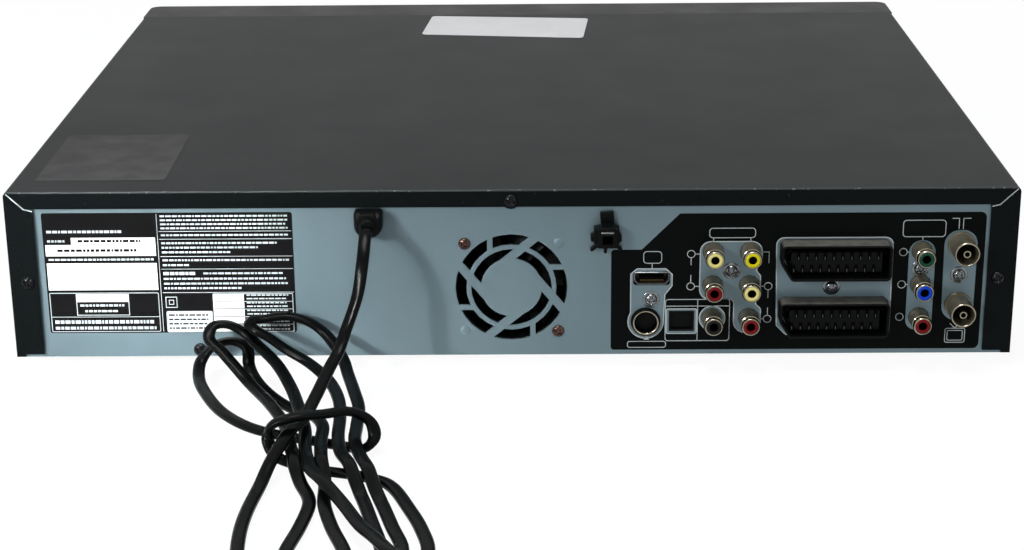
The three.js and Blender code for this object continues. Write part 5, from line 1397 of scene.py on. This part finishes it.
    def build_multipins(self) -> None:
        """Builds the two multipin sockets."""
        for name, z, low, high in (("lower", 17.2, self.housing_foot, 28.0),
                                   ("upper", 43.2, 28.3, 53.0)):
            make_piece(f"multipin_{name}", self.multipin_socket(z, low, high),
                       replaces=[f"multipin_socket_{name}"])

    def build_tuner(self) -> None:
        """Builds the tuner's folded tin box with its two aerial sockets."""
        x, r, reach = self.tuner_column, self.aerial_radius, self.aerial_reach
        bore, pin = self.aerial_bore, self.aerial_pin
        bands = [
            (NICKEL, [(r + 0.5, BEHIND_PANEL - 0.2), (r + 0.5, -0.6), (r + 0.3, -0.3),
                      (r - 0.1, -0.3), (r - 0.1, 3.0), (r, 3.3), (r, reach - 0.6)]),
            (BRIGHT, [(r - 0.1, reach - 0.2), (r - 0.35, reach), (bore + 0.2, reach),
                      (bore, reach - 0.25)]),
            (NICKEL, [(bore - 0.05, reach - 0.9), (bore - 0.1, 2.4)]),
            (PLASTIC, [(bore - 0.1, 2.0), (pin + 0.05, 2.0)]),
            (BRIGHT, [(pin, 2.1), (pin, reach - 1.1), (pin - 0.25, reach - 0.7),
                      (1.1, reach - 0.7), (1.0, reach - 0.9)]),
            (HOLE, [(1.0, 5.0), (0.02, 5.0)])]
        tin = box((x - 8, x + 8), (-84.6, BEHIND_PANEL), (self.housing_foot, 58.0), NICKEL, 0.3, 0.4)
        make_piece("tuner_and_aerials", joined(
            tin, *[turned(bands, (x, 0, z), Axis.Y, 48) for z in self.aerials]),
            replaces=["tuner_box"])

    def build(self) -> None:
        """Builds every socket."""
        self.build_jacks()
        self.build_digital_audio()
        self.build_round_video()
        self.build_flat_video()
        self.build_multipins()
        self.build_tuner()


# Fan


@dataclass
class FanUnit:
    """The fan behind its grille: the frame, the bladed wheel and the two screws."""

    centre: Point = (0.0, 30.5)
    blades: int = 7
    hub: float = 10.5
    tip: float = 22.2
    low: float = -14.8
    high: float = -3.1
    half_chord: float = 0.36
    chord_loss: float = 0.06
    sweep: float = 0.16
    half_pitch: float = 4.4
    pitch_loss: float = 0.18
    cup: float = 0.9
    half_thickness: float = 0.65
    edge_thinning: float = 0.55
    screws: tuple[Point, ...] = ((19.9, 50.4), (-20.0, 10.5))
    dimples: tuple[Point, ...] = ((-20.3, 50.4), (19.9, 10.9))

    def blade(self, turn: float) -> Shape:
        """Makes one blade: radius and chord step over a grid, and its pitch eases outwards.

        The two skins lie half the thickness above and below the middle, and each radius
        gives one closed ring, up one skin and back along the other.

        Args:
            turn: where the blade stands, in radians.

        Returns:
            The closed blade.
        """
        reach, across = np.meshgrid(np.linspace(self.hub - 1.0, self.tip, 8),
                                    np.linspace(-1, 1, 9), indexing="ij")
        ease = (reach - self.hub) / (self.tip - self.hub)
        angle = turn + across * (self.half_chord - self.chord_loss * ease) + self.sweep * ease
        level = ((self.low + self.high) / 2 + self.cup * across ** 2
                 + across * self.half_pitch * (1 - self.pitch_loss * ease))
        thick = self.half_thickness * (1 - self.edge_thinning * across ** 2)
        flat = np.stack([reach * np.cos(angle), reach * np.sin(angle)], -1)
        upper, lower = (stand(flat, level + side * thick, Axis.Y) for side in (1, -1))
        rings = np.concatenate([upper, lower[:, ::-1]], axis=1)
        return skin(rings, PLASTIC).moved((self.centre[0], 0, self.centre[1]))

    def build(self, frame: dict) -> None:
        """Builds the fan and its fasteners.

        Args:
            frame: the loaded frame, with the plain fan frame that gets soft edges.
        """
        x, z = self.centre
        hub = turned([(PLASTIC, [(self.hub - 1.4, self.low), (self.hub, self.low + 0.8),
                                 (self.hub, self.high - 0.9), (self.hub - 0.9, self.high),
                                 (0.02, self.high)])], (x, 0, z), Axis.Y, 48)
        turns = np.arange(self.blades) * 2 * np.pi / self.blades
        make_piece("fan_wheel_blades", joined(hub, *[self.blade(t) for t in turns]), "fan_wheel",
                   ["fan_rotor"])
        soften(frame, "fan_frame", PLASTIC, 0.3)
        copper = Screw(2.65, 1.7, COPPERED, Drive.SLOTTED_CROSS)
        heads = [copper.shape(place, PANEL_FACE, 30) for place in self.screws]
        dome = [(2.3, -0.05), (2.0, 0.12), (1.3, 0.34), (0.5, 0.42), (0.02, 0.43)]
        dimples = [turned([(ZINC, dome)], (a, PANEL_FACE, b), Axis.Y, 32) for a, b in self.dimples]
        make_piece("fan_screws", joined(*heads))
        make_piece("panel_dimples", joined(*dimples))


# Mains lead


@dataclass
class MainsLead:
    """The fixed mains lead: bushing, flat cord in its folded bundle, plug and the empty clip."""

    half_width: float = 2.65
    half_height: float = 1.66
    squareness: float = 2.5
    lowest: float = 1.72
    lowering: float = 0.45
    steps: int = 5
    around: int = 24
    lanes: int = 13
    averaged: int = 13
    bushing: Point = (60.2, 61.0)
    clip_pin: Point = (-40.5, 56.0)
    plug_height: float = 6.9
    route: list[tuple[float, float, float]] = field(default_factory=lambda: [
        (60.2, 8.3, 66.5), (60.6, 14, 66), (61.3, 24, 57.5), (63.4, 30, 44.5), (68.2, 35, 31.1),
        (71.2, 42, 23.7), (73.9, 50, 20.5), (78, 68, 15.5), (81.5, 83, 12.2), (85, 95, 12.6),
        (88, 105, 11), (91.5, 115, 7), (94, 125, 3), (96.3, 145, 2.2), (96.8, 161.5, 2.2),
        (95.7, 180, 2.2), (93, 200, 2.2), (84, 216, 2.2), (70, 225, 2.2), (55, 225, 2.2),
        (48, 225, 2.2), (38, 216, 2.2), (31, 201, 2.2), (27.9, 180, 2.2), (31, 163, 2.2),
        (36, 147, 2.2), (45.5, 124, 2.2), (52.5, 118.5, 2.2), (60, 115, 2.2), (72, 111, 2.2),
        (84, 104.5, 2.2), (91.5, 99.5, 3.6), (94.2, 97, 8.4), (93, 96.5, 14.4), (85, 96.5, 18),
        (73, 92, 17.6), (62, 86.5, 16.2), (55, 86.5, 12), (53.3, 90, 6.8), (57, 91.5, 2.8),
        (66, 88, 2.2), (80, 82, 2.2), (92.5, 77, 2.2), (105.6, 68.8, 2.2), (118.1, 54.2, 2.2),
        (128.1, 33.8, 2.2), (133.4, 18, 3.5), (133.5, 8, 7.3), (128.3, 5, 12.6), (120.4, 5, 14.8),
        (113.8, 7, 12.4), (112.6, 12, 6.5), (107.4, 25.2, 4), (97.6, 42, 3), (85.5, 57.7, 3.5),
        (78, 70, 6.6), (74.5, 80, 7), (74, 92, 7), (73, 104, 7.1), (72, 112, 7), (70.5, 119, 4.4),
        (69.5, 126, 2.2), (68.4, 141, 2.2), (64, 160, 2.2), (57.7, 180, 2.2), (56, 191, 2.2),
        (52.5, 198.5, 2.2), (46.5, 200.5, 2.2), (40, 195.5, 2.2), (37.1, 180, 2.2),
        (42, 160, 2.2), (47.5, 139, 2.2), (50.5, 130, 4.2), (53.5, 120, 7.1), (57.5, 108, 7.1),
        (60.5, 95, 7.4), (61, 80, 7), (61.4, 63.3, 8), (64.6, 47.7, 9), (68.5, 31, 10),
        (71, 22, 12.5), (75, 14.5, 16), (80.5, 8, 20), (86.7, 6, 23.8), (94.8, 5, 26),
        (101, 5, 25.8), (106.5, 5.8, 25), (110.6, 7.4, 25.2), (111.4, 11, 24.8),
        (108.6, 14.4, 23.4), (103.5, 15.6, 20.8), (96, 17.6, 16), (85.7, 23, 11.8),
        (76.6, 34.2, 8.6), (70.5, 53.1, 7.5), (68.5, 70, 7), (67.5, 90, 7), (65.2, 105, 7.1),
        (61, 116, 7.1), (58.2, 125, 4.8), (55.2, 134, 2.2), (49.5, 157, 2.2), (44.4, 180, 2.2),
        (45, 188.5, 2.8), (49, 200.5, 7.7), (58, 208.5, 7.3), (68, 209.5, 7), (76, 202, 5.5),
        (79, 192, 3.2), (78.6, 180, 2.2), (75.5, 160, 2.2), (74, 142, 2.2), (75.2, 134, 2.2),
        (79, 124, 3), (82, 115, 5.8), (83.6, 107, 7.2), (85.6, 98, 7.1), (87.3, 88, 7.1),
        (90.9, 75, 7), (99, 54, 6.4), (110, 32.3, 6.6), (117, 25, 11.5), (123, 19.5, 16),
        (128.6, 14.5, 19.8), (127.4, 9.8, 23.4), (121.4, 8, 23.6), (114.4, 9, 20.3),
        (108.5, 14, 16.8), (99.1, 26.2, 13), (91.3, 44.4, 10.2), (86.8, 60, 9.3), (83.8, 72, 8),
        (81, 85, 7.2), (80, 96, 7.1), (78.6, 106, 7.1), (76.8, 114, 7.2), (75.2, 121, 7.3),
        (70, 131, 7.5), (61.5, 146, 5.6), (52.6, 168, 6.4), (47, 178.5, 7.2), (41.5, 190, 8),
        (33.5, 203, 7.6), (22, 211, 6.9), (8, 216, 6.9)])

    def centres(self) -> np.ndarray:
        """Runs a centripetal Catmull-Rom curve through the route.

        Each span blends its four nearest points by knots that step with the square root of
        their distance, and the result is lowered until the flat cord rests on the floor.

        Returns:
            Points along the middle of the cord, from the bushing to the plug.
        """
        points = np.asarray(self.route, float)
        padded = np.concatenate([[2 * points[0] - points[1]], points,
                                 [2 * points[-1] - points[-2]]])
        knots = np.sqrt(np.linalg.norm(np.diff(padded, axis=0), axis=1))
        a, b, c, d = padded[:-3], padded[1:-2], padded[2:-1], padded[3:]
        first = knots[:-2, None, None]
        second = first + knots[1:-1, None, None]
        third = second + knots[2:, None, None]
        share = np.linspace(0, 1, self.steps, endpoint=False)[None, :, None]
        t = first + (second - first) * share
        a, b, c, d = (one[:, None, :] for one in (a, b, c, d))
        ab = a * (first - t) / first + b * t / first
        bc = b * (second - t) / (second - first) + c * (t - first) / (second - first)
        cd = c * (third - t) / (third - second) + d * (t - second) / (third - second)
        abc = ab * (second - t) / second + bc * t / second
        bcd = bc * (third - t) / (third - first) + cd * (t - first) / (third - first)
        curve = abc * (second - t) / (second - first) + bcd * (t - first) / (second - first)
        curve = np.concatenate([curve.reshape(-1, 3), points[-1:]])
        curve[:, 2] = np.maximum(curve[:, 2] - self.lowering, self.lowest)
        return curve

    def sides(self, centres: np.ndarray) -> tuple[np.ndarray, np.ndarray]:
        """Finds the level direction across the cord and the one that stands on it.

        The direction is the path's own crossed with the vertical. Where the path turns over
        at the top of a bend its sign is kept, and neighbours are averaged.

        Args:
            centres: points along the cord.

        Returns:
            Unit vectors across and upwards at each point.
        """
        ahead = np.gradient(centres, axis=0)
        ahead /= np.linalg.norm(ahead, axis=1, keepdims=True)
        across = np.cross(ahead, [0.0, 0.0, 1.0])
        flips = np.sign(np.sum(across[1:] * across[:-1], axis=1))
        across *= np.concatenate([[1], np.cumprod(np.where(flips == 0, 1, flips))])[:, None]
        weights = np.hanning(self.averaged) / np.hanning(self.averaged).sum()
        margin = self.averaged // 2
        padded = np.pad(across, ((margin, margin), (0, 0)), mode="edge")
        across = np.stack([np.convolve(padded[:, i], weights, "valid") for i in range(3)], -1)
        across -= ahead * np.sum(across * ahead, axis=1, keepdims=True)
        across /= np.linalg.norm(across, axis=1, keepdims=True)
        return across, np.cross(across, ahead)

    def section(self) -> np.ndarray:
        """Gives the flat cord's outline, |x / a| ** n + |z / b| ** n = 1, which is nearly oval.

        Returns:
            Its points, as widths and heights.
        """
        flat = circle((0, 0), 1.0, self.around)
        return (np.sign(flat) * np.abs(flat) ** (2 / self.squareness)
                * np.array([self.half_width, self.half_height]))

    def build_cord(self) -> tuple[bpy.types.Object, np.ndarray]:
        """Carries the flat section along the route, with a map that runs along it.

        Returns:
            The cord and the points of its middle, in metres of the frame.
        """
        centres = self.centres()
        across, up = self.sides(centres)
        flat = self.section()
        rings = (centres[:, None] + across[:, None] * flat[None, :, :1]
                 + up[:, None] * flat[None, :, 1:])
        shape = skin(rings, SHEATH)
        along = np.concatenate([[0], np.cumsum(np.linalg.norm(np.diff(centres, axis=0), axis=1))])
        around = np.linspace(0, self.lanes, len(flat), endpoint=False)
        u, v = np.meshgrid(along, around, indexing="ij")
        shape.lanes = np.stack([v, u], -1).reshape(-1, 2)
        cord = make_piece("mains_cord", shape, replaces=["power_cord", "cord_hank"],
                          origin=LEAD_ORIGIN, crisp=80.0)
        return cord, (centres + LEAD_ORIGIN) * METRE

    def build_bushing(self) -> None:
        """Builds the cord bushing: a hooded block, round below, with a collar for the cord."""
        x, middle = self.bushing
        low, high = middle - 5.8, middle + 5.8
        outline = rounded([(x - 6.1, low), (x + 6.1, low), (x + 6.1, high), (x - 6.1, high)],
                          [5.6, 5.6, 1.6, 1.6], 8)
        rings = []
        for margin, y, slope in ((0.5, -1.2, 0.0), (0.5, -0.4, 0.0), (0.0, 0.0, 0.0),
                                 (0.0, 4.6, 0.0), (0.3, 6.2, 0.09), (1.0, 7.4, 0.16),
                                 (1.8, 8.0, 0.2)):
            ring = inset(outline, margin)
            # The upper part slopes down towards the outer end
            ring[:, 1] -= np.maximum(ring[:, 1] - (middle - 1.0), 0) * slope
            rings.append(stand(ring, np.full(len(ring), y), Axis.Y))
        hood = rounded([(x - 4.4, 62.4), (x + 4.4, 62.4), (x + 3.2, 66.6), (x - 3.2, 66.6)], 1.0)
        neck = turned([(PLASTIC, [(4.3, -1.0), (4.3, -3.2), (3.2, -12.6), (2.8, -12.8)])],
                      (x, 0, middle), Axis.Y, 28)
        collar = turned([(PLASTIC, [(3.9, 6.4), (3.8, 8.2), (3.3, 9.4), (3.0, 9.7), (2.6, 9.7)])],
                        (x, 0, middle), Axis.Y, 32)
        seam = box((x - 0.35, x + 0.35), (7.0, 8.35), (63.2, 66.2), PLASTIC, 0.15, 0.2)
        make_piece("cord_bushing", joined(skin(np.stack(rings), PLASTIC), neck, collar, seam,
                                          prism(hood, (3.0, 8.1), Axis.Y, PLASTIC, 0.6)),
                   replaces=["cord_grommet"])

    def build_clip(self) -> None:
        """Builds the empty cable clip from its strap, body, ears and three legs."""
        y = PANEL_FACE + 0.3
        strap = box((-44.0, -38.2), (y, y + 1.8), (58.6, 64.8), PLASTIC, 0.3, 0.4)
        strap = strap.turned(4.0, Axis.Y, (-41.0, y, 58.6))
        hook = box((-43.8, -38.0), (y + 1.2, 8.2), (58.3, 60.0), PLASTIC, 0.3, 0.4)
        block = sheet([rectangle((-45.0, -36.6), (50.6, 58.8), 0.6),
                       rectangle((-43.2, -38.8), (52.2, 55.9), 0.4)[::-1]], (y, 6.8), Axis.Y, PLASTIC)
        floor = box((-44.0, -37.6), (y, 2.6), (51.4, 57.4), HOLE, 0.3, 0.4)
        line = box((-43.6, -38.2), (6.4, 7.0), (57.1, 57.9), GREY, 0.15, 0.3)
        cheeks = [box((a, a + 1.9), (y, 5.4), (52.0, 58.6), PLASTIC, 0.4, 0.6)
                  for a in (-46.0, -37.0)]
        ears = [box((-47.0, -44.4), (y, 3.0), (52.0, 55.0), PLASTIC, 0.3, 0.6),
                box((-36.8, -33.8), (y, 3.4), (52.4, 55.3), PLASTIC, 0.3, 0.8)]
        legs = []
        for tip, root in (((-33.9, 47.9), (-38.2, 51.6)), ((-40.0, 46.8), (-40.6, 51.4)),
                          ((-47.0, 48.0), (-43.0, 51.6))):
            a, b = np.asarray(root), np.asarray(tip)
            side = np.array([-(b - a)[1], (b - a)[0]]) / np.linalg.norm(b - a) * 0.85
            legs.append(prism(rounded([a - side, b - side * 0.7, b + side * 0.7, a + side], 0.35, 3),
                              (y, 2.2), Axis.Y, PLASTIC, 0.25))
        pin = turned([(PLASTIC, [(2.0, y + 0.3), (2.0, -3.4), (1.4, -4.6), (0.02, -4.6)])],
                     (self.clip_pin[0], 0, self.clip_pin[1]), Axis.Y, 20)
        make_piece("empty_clip", joined(strap, hook, block, floor, line, *cheeks, *ears, *legs, pin),
                   replaces=["cable_clip"])

    def build_plug(self, centres: np.ndarray) -> bpy.types.Object:
        """Builds the plug at the cord's end: ribbed sleeve, waisted body and two pins.

        Args:
            centres: the middle of the cord in metres of the frame.

        Returns:
            The plug.
        """
        end = centres[-1] / METRE - LEAD_ORIGIN
        route = np.asarray(self.route, float)
        heading = (route[-1] - route[-2]) * np.array([1, 1, 0])
        turn = math.degrees(math.atan2(-heading[0], heading[1]))
        along = np.array([0, 1.5, 3, 4.5, 6, 7.5, 9, 10.5, 12, 13.5, 15.3])
        ribs = np.where(np.arange(len(along)) % 2, 0.0, 0.45)
        sleeve = turned([(PLASTIC, [(2.6, -1.0)] + [(3.1 + 0.17 * a - r, a)
                                                    for a, r in zip(along, ribs)])],
                        (0, 0, 0), Axis.Y, 28)
        shares = np.array([0.0, 0.03, 0.1, 0.25, 0.42, 0.6, 0.78, 0.93, 0.98, 1.0])
        wide = np.array([9.0, 11.5, 14.2, 16.0, 15.3, 14.9, 15.6, 16.4, 16.2, 15.2])
        tall = np.array([4.0, 5.0, 5.9, 6.5, 6.4, 6.3, 6.5, 6.6, 6.4, 5.6])
        rings = [stand(rectangle((-w, w), (-h, h), min(h, w) * 0.72, 6), np.full(28, 15 + 35 * s),
                       Axis.Y) for s, w, h in zip(shares, wide, tall)]
        pins = [turned([(PLASTIC, [(2.0, 49.0), (2.0, 59.0)]),
                        (BRIGHT, [(2.0, 59.2), (2.0, 67.6), (1.5, 68.7), (0.6, 69.0)])],
                       (x, 0, 0), Axis.Y, 24) for x in (-9.5, 9.5)]
        shape = joined(sleeve, skin(np.stack(rings), PLASTIC), *pins)
        shape = shape.turned(turn, Axis.Z, (0, 0, 0)).moved((end[0], end[1], self.plug_height))
        return make_piece("mains_plug", shape, replaces=["power_plug"],
                          origin=LEAD_ORIGIN)

    def build(self) -> None:
        cord, centres = self.build_cord()
        plug = self.build_plug(centres)
        self.build_bushing()
        self.build_clip()


# Front panel


@dataclass
class FrontPanel:
    """The moulded front with its door, tray front, window and buttons."""

    front: float = -372.9
    power: Point = (-190.0, 20.0)
    buttons: dict[str, Point] = field(default_factory=lambda: {
        "tape_eject": (-150.0, 20.0), "stop": (-104.0, 20.0), "play": (-80.0, 20.0),
        "record": (-56.0, 20.0), "disc_eject": (190.0, 34.0)})

    def stem(self, x: float, z: float) -> Shape:
        """Turns the stem that reaches from a button to its switch."""
        return turned([(GREY, [(1.5, self.front + 2.9), (1.5, self.front + 6.5),
                               (1.2, self.front + 6.6)])], (x, 0, z), Axis.Y, 20)

    def build_buttons(self) -> None:
        """Builds the six buttons, slightly crowned, each on its own body."""
        profile = [(margin, self.front + depth) for margin, depth in (
            (-1.2, 4.5), (-1.2, 3.0), (0.0, 3.0), (0.0, 0.5), (0.35, 0.08), (0.9, 0.0),
            (1.9, 0.06))]
        for name, (x, z) in self.buttons.items():
            outline = rectangle((x - 9, x + 9), (z - 3, z + 3), 1.5, 5)
            cap = carried(outline, profile, Axis.Y, GREY)
            make_piece(f"{name}_cap", joined(cap, self.stem(x, z)), f"{name}_key",
                       [f"{name}_button"])
        x, z = self.power
        crown = [(r, self.front + depth) for r, depth in (
            (8.2, 4.5), (8.2, 3.0), (7.0, 3.0), (7.0, 0.6), (6.5, 0.1), (5.6, 0.04), (3.0, 0.35),
            (0.02, 0.45))]
        cap = turned([(GREY, crown)], (x, 0, z), Axis.Y, 56)
        make_piece("power_cap", joined(cap, self.stem(x, z)), "power_key", ["power_button"])

    def build(self, frame: dict) -> None:
        """Builds and dresses the front.

        Args:
            frame: the loaded frame, with the plain nodes that get soft edges.
        """
        soften(frame, "front_bezel", FRONT, 0.5)
        soften(frame, "display_window", SMOKED, 0.3)
        soften(frame, "tape_door", FRONT, 0.35, "door")
        soften(frame, "tray_front", FRONT, 0.5, "tray")
        self.build_buttons()


# Inner works


@dataclass
class InnerWorks:
    """Boards, disc drive and tape deck: the plain nodes get finishes and rounded edges."""

    drive_front: float = -358.2
    drive_floor: float = 8.0
    disc: Point = (96.0, 56.0)
    deck_front: float = -340.0
    drum: Point = (-106.0, 180.0)
    capstan: Point = (-54.0, 158.0)
    roller: Point = (-40.3136, 169.3192)
    reels: dict[str, Point] = field(default_factory=lambda: {
        "supply": (-152.0, 100.0), "take_up": (-60.0, 100.0)})
    finishes: dict[str, Finish] = field(default_factory=lambda: {
        "main_board": BOARD, "power_board": BROWN, "front_board": BOARD,
        "power_transformer": FERRITE, "heat_sink": ALUMINIUM, "loader_base": PLASTIC,
        "spindle_motor": STEEL, "sled_rail": STEEL, "sled_screw": STEEL, "clamp_bridge": STEEL,
        "deck_chassis": ZINC, "carriage_sledge": ZINC, "drum_base": ALUMINIUM,
        "pinch_arm": STEEL, "tray_pinion": WHITE, "pickup_sled": PLASTIC})

    def build_disc_table(self) -> None:
        """Turns the turntable with its rubber ring."""
        x, y = self.disc
        table = turned([
            (PLASTIC, [(1.3, 12.0), (1.3, 10.9), (14.4, 10.9), (15.0, 11.3), (15.0, 13.0)]),
            (RUBBER, [(14.6, 13.6), (11.0, 13.6)]),
            (PLASTIC, [(10.8, 13.55), (7.0, 13.55), (7.0, 15.0), (6.2, 15.8), (0.02, 15.9)])],
            (x, self.drive_front + y, self.drive_floor), Axis.Z, 48)
        make_piece("turntable_hub", table, "disc_table", ["turntable"])

    def on_deck(self, place: Point) -> tuple[float, float, float]:
        """Gives the foot of an upright that stands behind the deck's front edge."""
        return (place[0], self.deck_front + place[1], 0.0)

    def build_tape_path(self) -> None:
        """Turns the head drum's upper half and the capstan with its flywheel."""
        drum = [(3.4, 42.0), (3.4, 29.8), (30.0, 29.8), (31.0, 30.3), (31.0, 33.0), (30.75, 33.2),
                (31.0, 33.4), (31.0, 43.4), (30.2, 44.3), (24.0, 44.5), (22.0, 43.9), (12.0, 43.9),
                (11.0, 44.4), (0.02, 44.4)]
        make_piece("head_drum_rotor", turned([(ALUMINIUM, drum)], self.on_deck(self.drum), Axis.Z,
                                             64), "head_drum", ["drum_rotor"])
        wheel = [(0.02, 8.0), (2.0, 8.0), (2.0, 9.0), (25.4, 9.0), (26.0, 9.5), (26.0, 13.4),
                 (25.4, 14.0), (6.0, 14.0), (5.0, 14.0), (2.0, 14.0), (2.0, 51.6), (1.6, 52.0),
                 (0.02, 52.0)]
        make_piece("capstan_wheel", turned([(STEEL, wheel)], self.on_deck(self.capstan), Axis.Z,
                                           48), "capstan_shaft", ["capstan"])

    def build_pinch_roller(self) -> None:
        """Turns the rubber roller with its white cap."""
        roller = turned([
            (RUBBER, [(1.85, 36.6), (5.6, 36.6), (6.0, 37.0), (6.0, 49.6), (5.6, 50.0)]),
            (WHITE, [(3.2, 50.0), (3.0, 49.7), (0.02, 49.7)])],
            self.on_deck(self.roller), Axis.Z, 36)
        make_piece("pinch_roller_tyre", roller, "pinch_wheel", ["pinch_roller"])

    def build_reels(self) -> None:
        """Turns the two reel tables with their spindles."""
        profile = [(1.9, 17.9), (19.5, 17.9), (20.0, 18.3), (20.0, 21.1), (19.6, 21.5),
                   (16.0, 21.5), (15.4, 20.9), (9.0, 20.9), (8.4, 21.5), (5.0, 21.5), (5.0, 31.6),
                   (3.6, 33.0), (0.02, 33.0)]
        for name, place in self.reels.items():
            hub = turned([(WHITE, profile)], self.on_deck(place), Axis.Z, 48)
            make_piece(f"{name}_reel_hub", hub, f"reel_{name}", [f"{name}_reel"])

    def build(self, frame: dict) -> None:
        """Dresses the inner nodes and builds the round ones.

        Args:
            frame: the loaded frame, with the plain nodes.
        """
        for node, finish in self.finishes.items():
            coat_node(frame, node, finish)
        soften(frame, "disc_tray", GREY, 0.35, "tray")
        soften(frame, "cassette_holder", ZINC, 0.2, "holder")
        self.build_disc_table()
        self.build_tape_path()
        self.build_reels()
        self.build_pinch_roller()


# Studio


@dataclass
class Studio:
    """Camera, soft lamps, pale world and floor."""

    camera_place: tuple[float, float, float] = (-0.011575, 1.034898, 0.342271)
    yaw: float = 0.7552
    pitch: float = 19.3531
    roll: float = -0.5391
    focal_share: float = 2118.68 / 1024
    sensor: float = 36.0
    sky: Colour = (226, 233, 238)
    sky_strength: float = 0.1
    floor_tones: tuple[Colour, Colour] = ((184, 186, 188), (190, 191, 192))
    floor_glow: float = 1.1
    floor_glow_share: float = 0.85
    floor_reach: float = 6.0
    floor_level: float = -0.0004

    def build_camera(self) -> None:
        """Places the camera at the angle of the photograph.

        It looks ahead by yaw and pitch, and its right and up directions are then turned about
        that line by the roll.
        """
        yaw, pitch, roll = (math.radians(a) for a in (self.yaw, self.pitch, self.roll))
        ahead = np.array([math.sin(yaw) * math.cos(pitch), -math.cos(yaw) * math.cos(pitch),
                          -math.sin(pitch)])
        level = np.cross(ahead, [0, 0, 1.0])
        level /= np.linalg.norm(level)
        upright = np.cross(level, ahead)
        right = math.cos(roll) * level + math.sin(roll) * upright
        up = -math.sin(roll) * level + math.cos(roll) * upright
        data = bpy.data.cameras.new("camera")
        data.sensor_width = self.sensor
        data.lens = self.focal_share * self.sensor
        data.clip_start, data.clip_end = 0.01, 50.0
        camera = bpy.data.objects.new("camera", data)
        matrix = Matrix(np.column_stack([right, up, -ahead]).tolist()).to_4x4()
        matrix.translation = Vector(self.camera_place)
        camera.matrix_world = matrix
        bpy.context.scene.collection.objects.link(camera)
        bpy.context.scene.camera = camera

    def lamp(self, name: str, place: Sequence[float], target: Sequence[float], size: float,
             watts: float, spread: float = 180.0) -> None:
        """Hangs one soft square lamp that faces a point.

        Args:
            name: the lamp's name.
            place: where it hangs, in metres.
            target: what it faces.
            size: its side in metres.
            watts: its power.
            spread: degrees that its light fans out over.
        """
        data = bpy.data.lights.new(name, "AREA")
        data.shape = "SQUARE"
        data.size = size
        data.energy = watts
        data.spread = math.radians(spread)
        lamp = bpy.data.objects.new(name, data)
        lamp.location = place
        way = Vector(target) - Vector(place)
        lamp.rotation_euler = way.to_track_quat("-Z", "Y").to_euler()
        bpy.context.scene.collection.objects.link(lamp)

    def build_world(self) -> None:
        """Lights the world evenly, and shows it white to the camera and in reflections."""
        world = bpy.data.worlds.new("studio")
        world.use_nodes = True
        tree = world.node_tree
        tree.nodes.clear()
        output = tree.nodes.new("ShaderNodeOutputWorld")
        mix = tree.nodes.new("ShaderNodeMixShader")
        tree.links.new(plain_rays(tree), mix.inputs["Fac"])
        for i, colour, strength in ((1, linear(self.sky), self.sky_strength),
                                    (2, (1, 1, 1, 1), 1.0)):
            light = tree.nodes.new("ShaderNodeBackground")
            light.inputs["Color"].default_value = colour
            light.inputs["Strength"].default_value = strength
            tree.links.new(light.outputs["Background"], mix.inputs[i])
        tree.links.new(mix.outputs["Shader"], output.inputs["Surface"])
        bpy.context.scene.world = world

    def build_floor(self) -> None:
        """Lays a pale floor that keeps the object's soft shadow."""
        recipe = Recipe("floor")
        recipe.shader.inputs["Roughness"].default_value = 0.9
        tones = (linear(tone) for tone in self.floor_tones)
        recipe.link(recipe.blend(recipe.noise(400.0, 2.0), *tones),
                    recipe.shader.inputs["Base Color"])
        glow = recipe.tree.nodes.new("ShaderNodeEmission")
        glow.inputs["Color"].default_value = (1, 1, 1, 1)
        glow.inputs["Strength"].default_value = self.floor_glow
        mix = recipe.tree.nodes.new("ShaderNodeMixShader")
        share = recipe.reckon("MULTIPLY", plain_rays(recipe.tree), self.floor_glow_share)
        recipe.link(share, mix.inputs["Fac"])
        recipe.link(recipe.shader.outputs["BSDF"], mix.inputs[1])
        recipe.link(glow.outputs["Emission"], mix.inputs[2])
        recipe.link(mix.outputs["Shader"], recipe.output.inputs["Surface"])
        mesh = bpy.data.meshes.new("floor")
        reach = self.floor_reach
        mesh.from_pydata([(x, y, self.floor_level) for x, y in (
            (-reach, -reach), (reach, -reach), (reach, reach), (-reach, reach))], [],
            [(0, 1, 2, 3)])
        mesh.materials.append(recipe.material)
        floor = bpy.data.objects.new("floor", mesh)
        bpy.context.scene.collection.objects.link(floor)

    def build(self) -> None:
        """Builds the studio."""
        bpy.context.scene.view_settings.view_transform = "Standard"
        self.build_camera()
        self.build_world()
        self.build_floor()
        self.lamp("key", (1.05, 1.47, 0.72), (0.0, 0.15, 0.03), 0.32, 18.0)
        self.lamp("left", (0.75, 0.85, 0.40), (0.15, 0.18, 0.04), 0.1, 0.22, 15.0)
        self.lamp("fill", (-1.0, 1.5, 0.6), (0.0, 0.15, 0.03), 0.6, 1.5)
        self.lamp("top", (0.2, 0.4, 2.0), (0.0, 0.1, 0.05), 0.8, 30.0)


def main() -> None:
    """Builds every part of the scene in order."""
    logging.basicConfig(level=logging.INFO, format="%(message)s")
    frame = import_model()
    Studio().build()
    MainsLead().build()
    Casing().build(frame)
    RearPrint().build()
    SocketBank().build()
    FanUnit().build(frame)
    FrontPanel().build(frame)
    InnerWorks().build(frame)
    LOG.info("%d pieces made here, with %d faces", len(COUNTS), sum(COUNTS.values()))


if __name__ == "__main__":
    main()
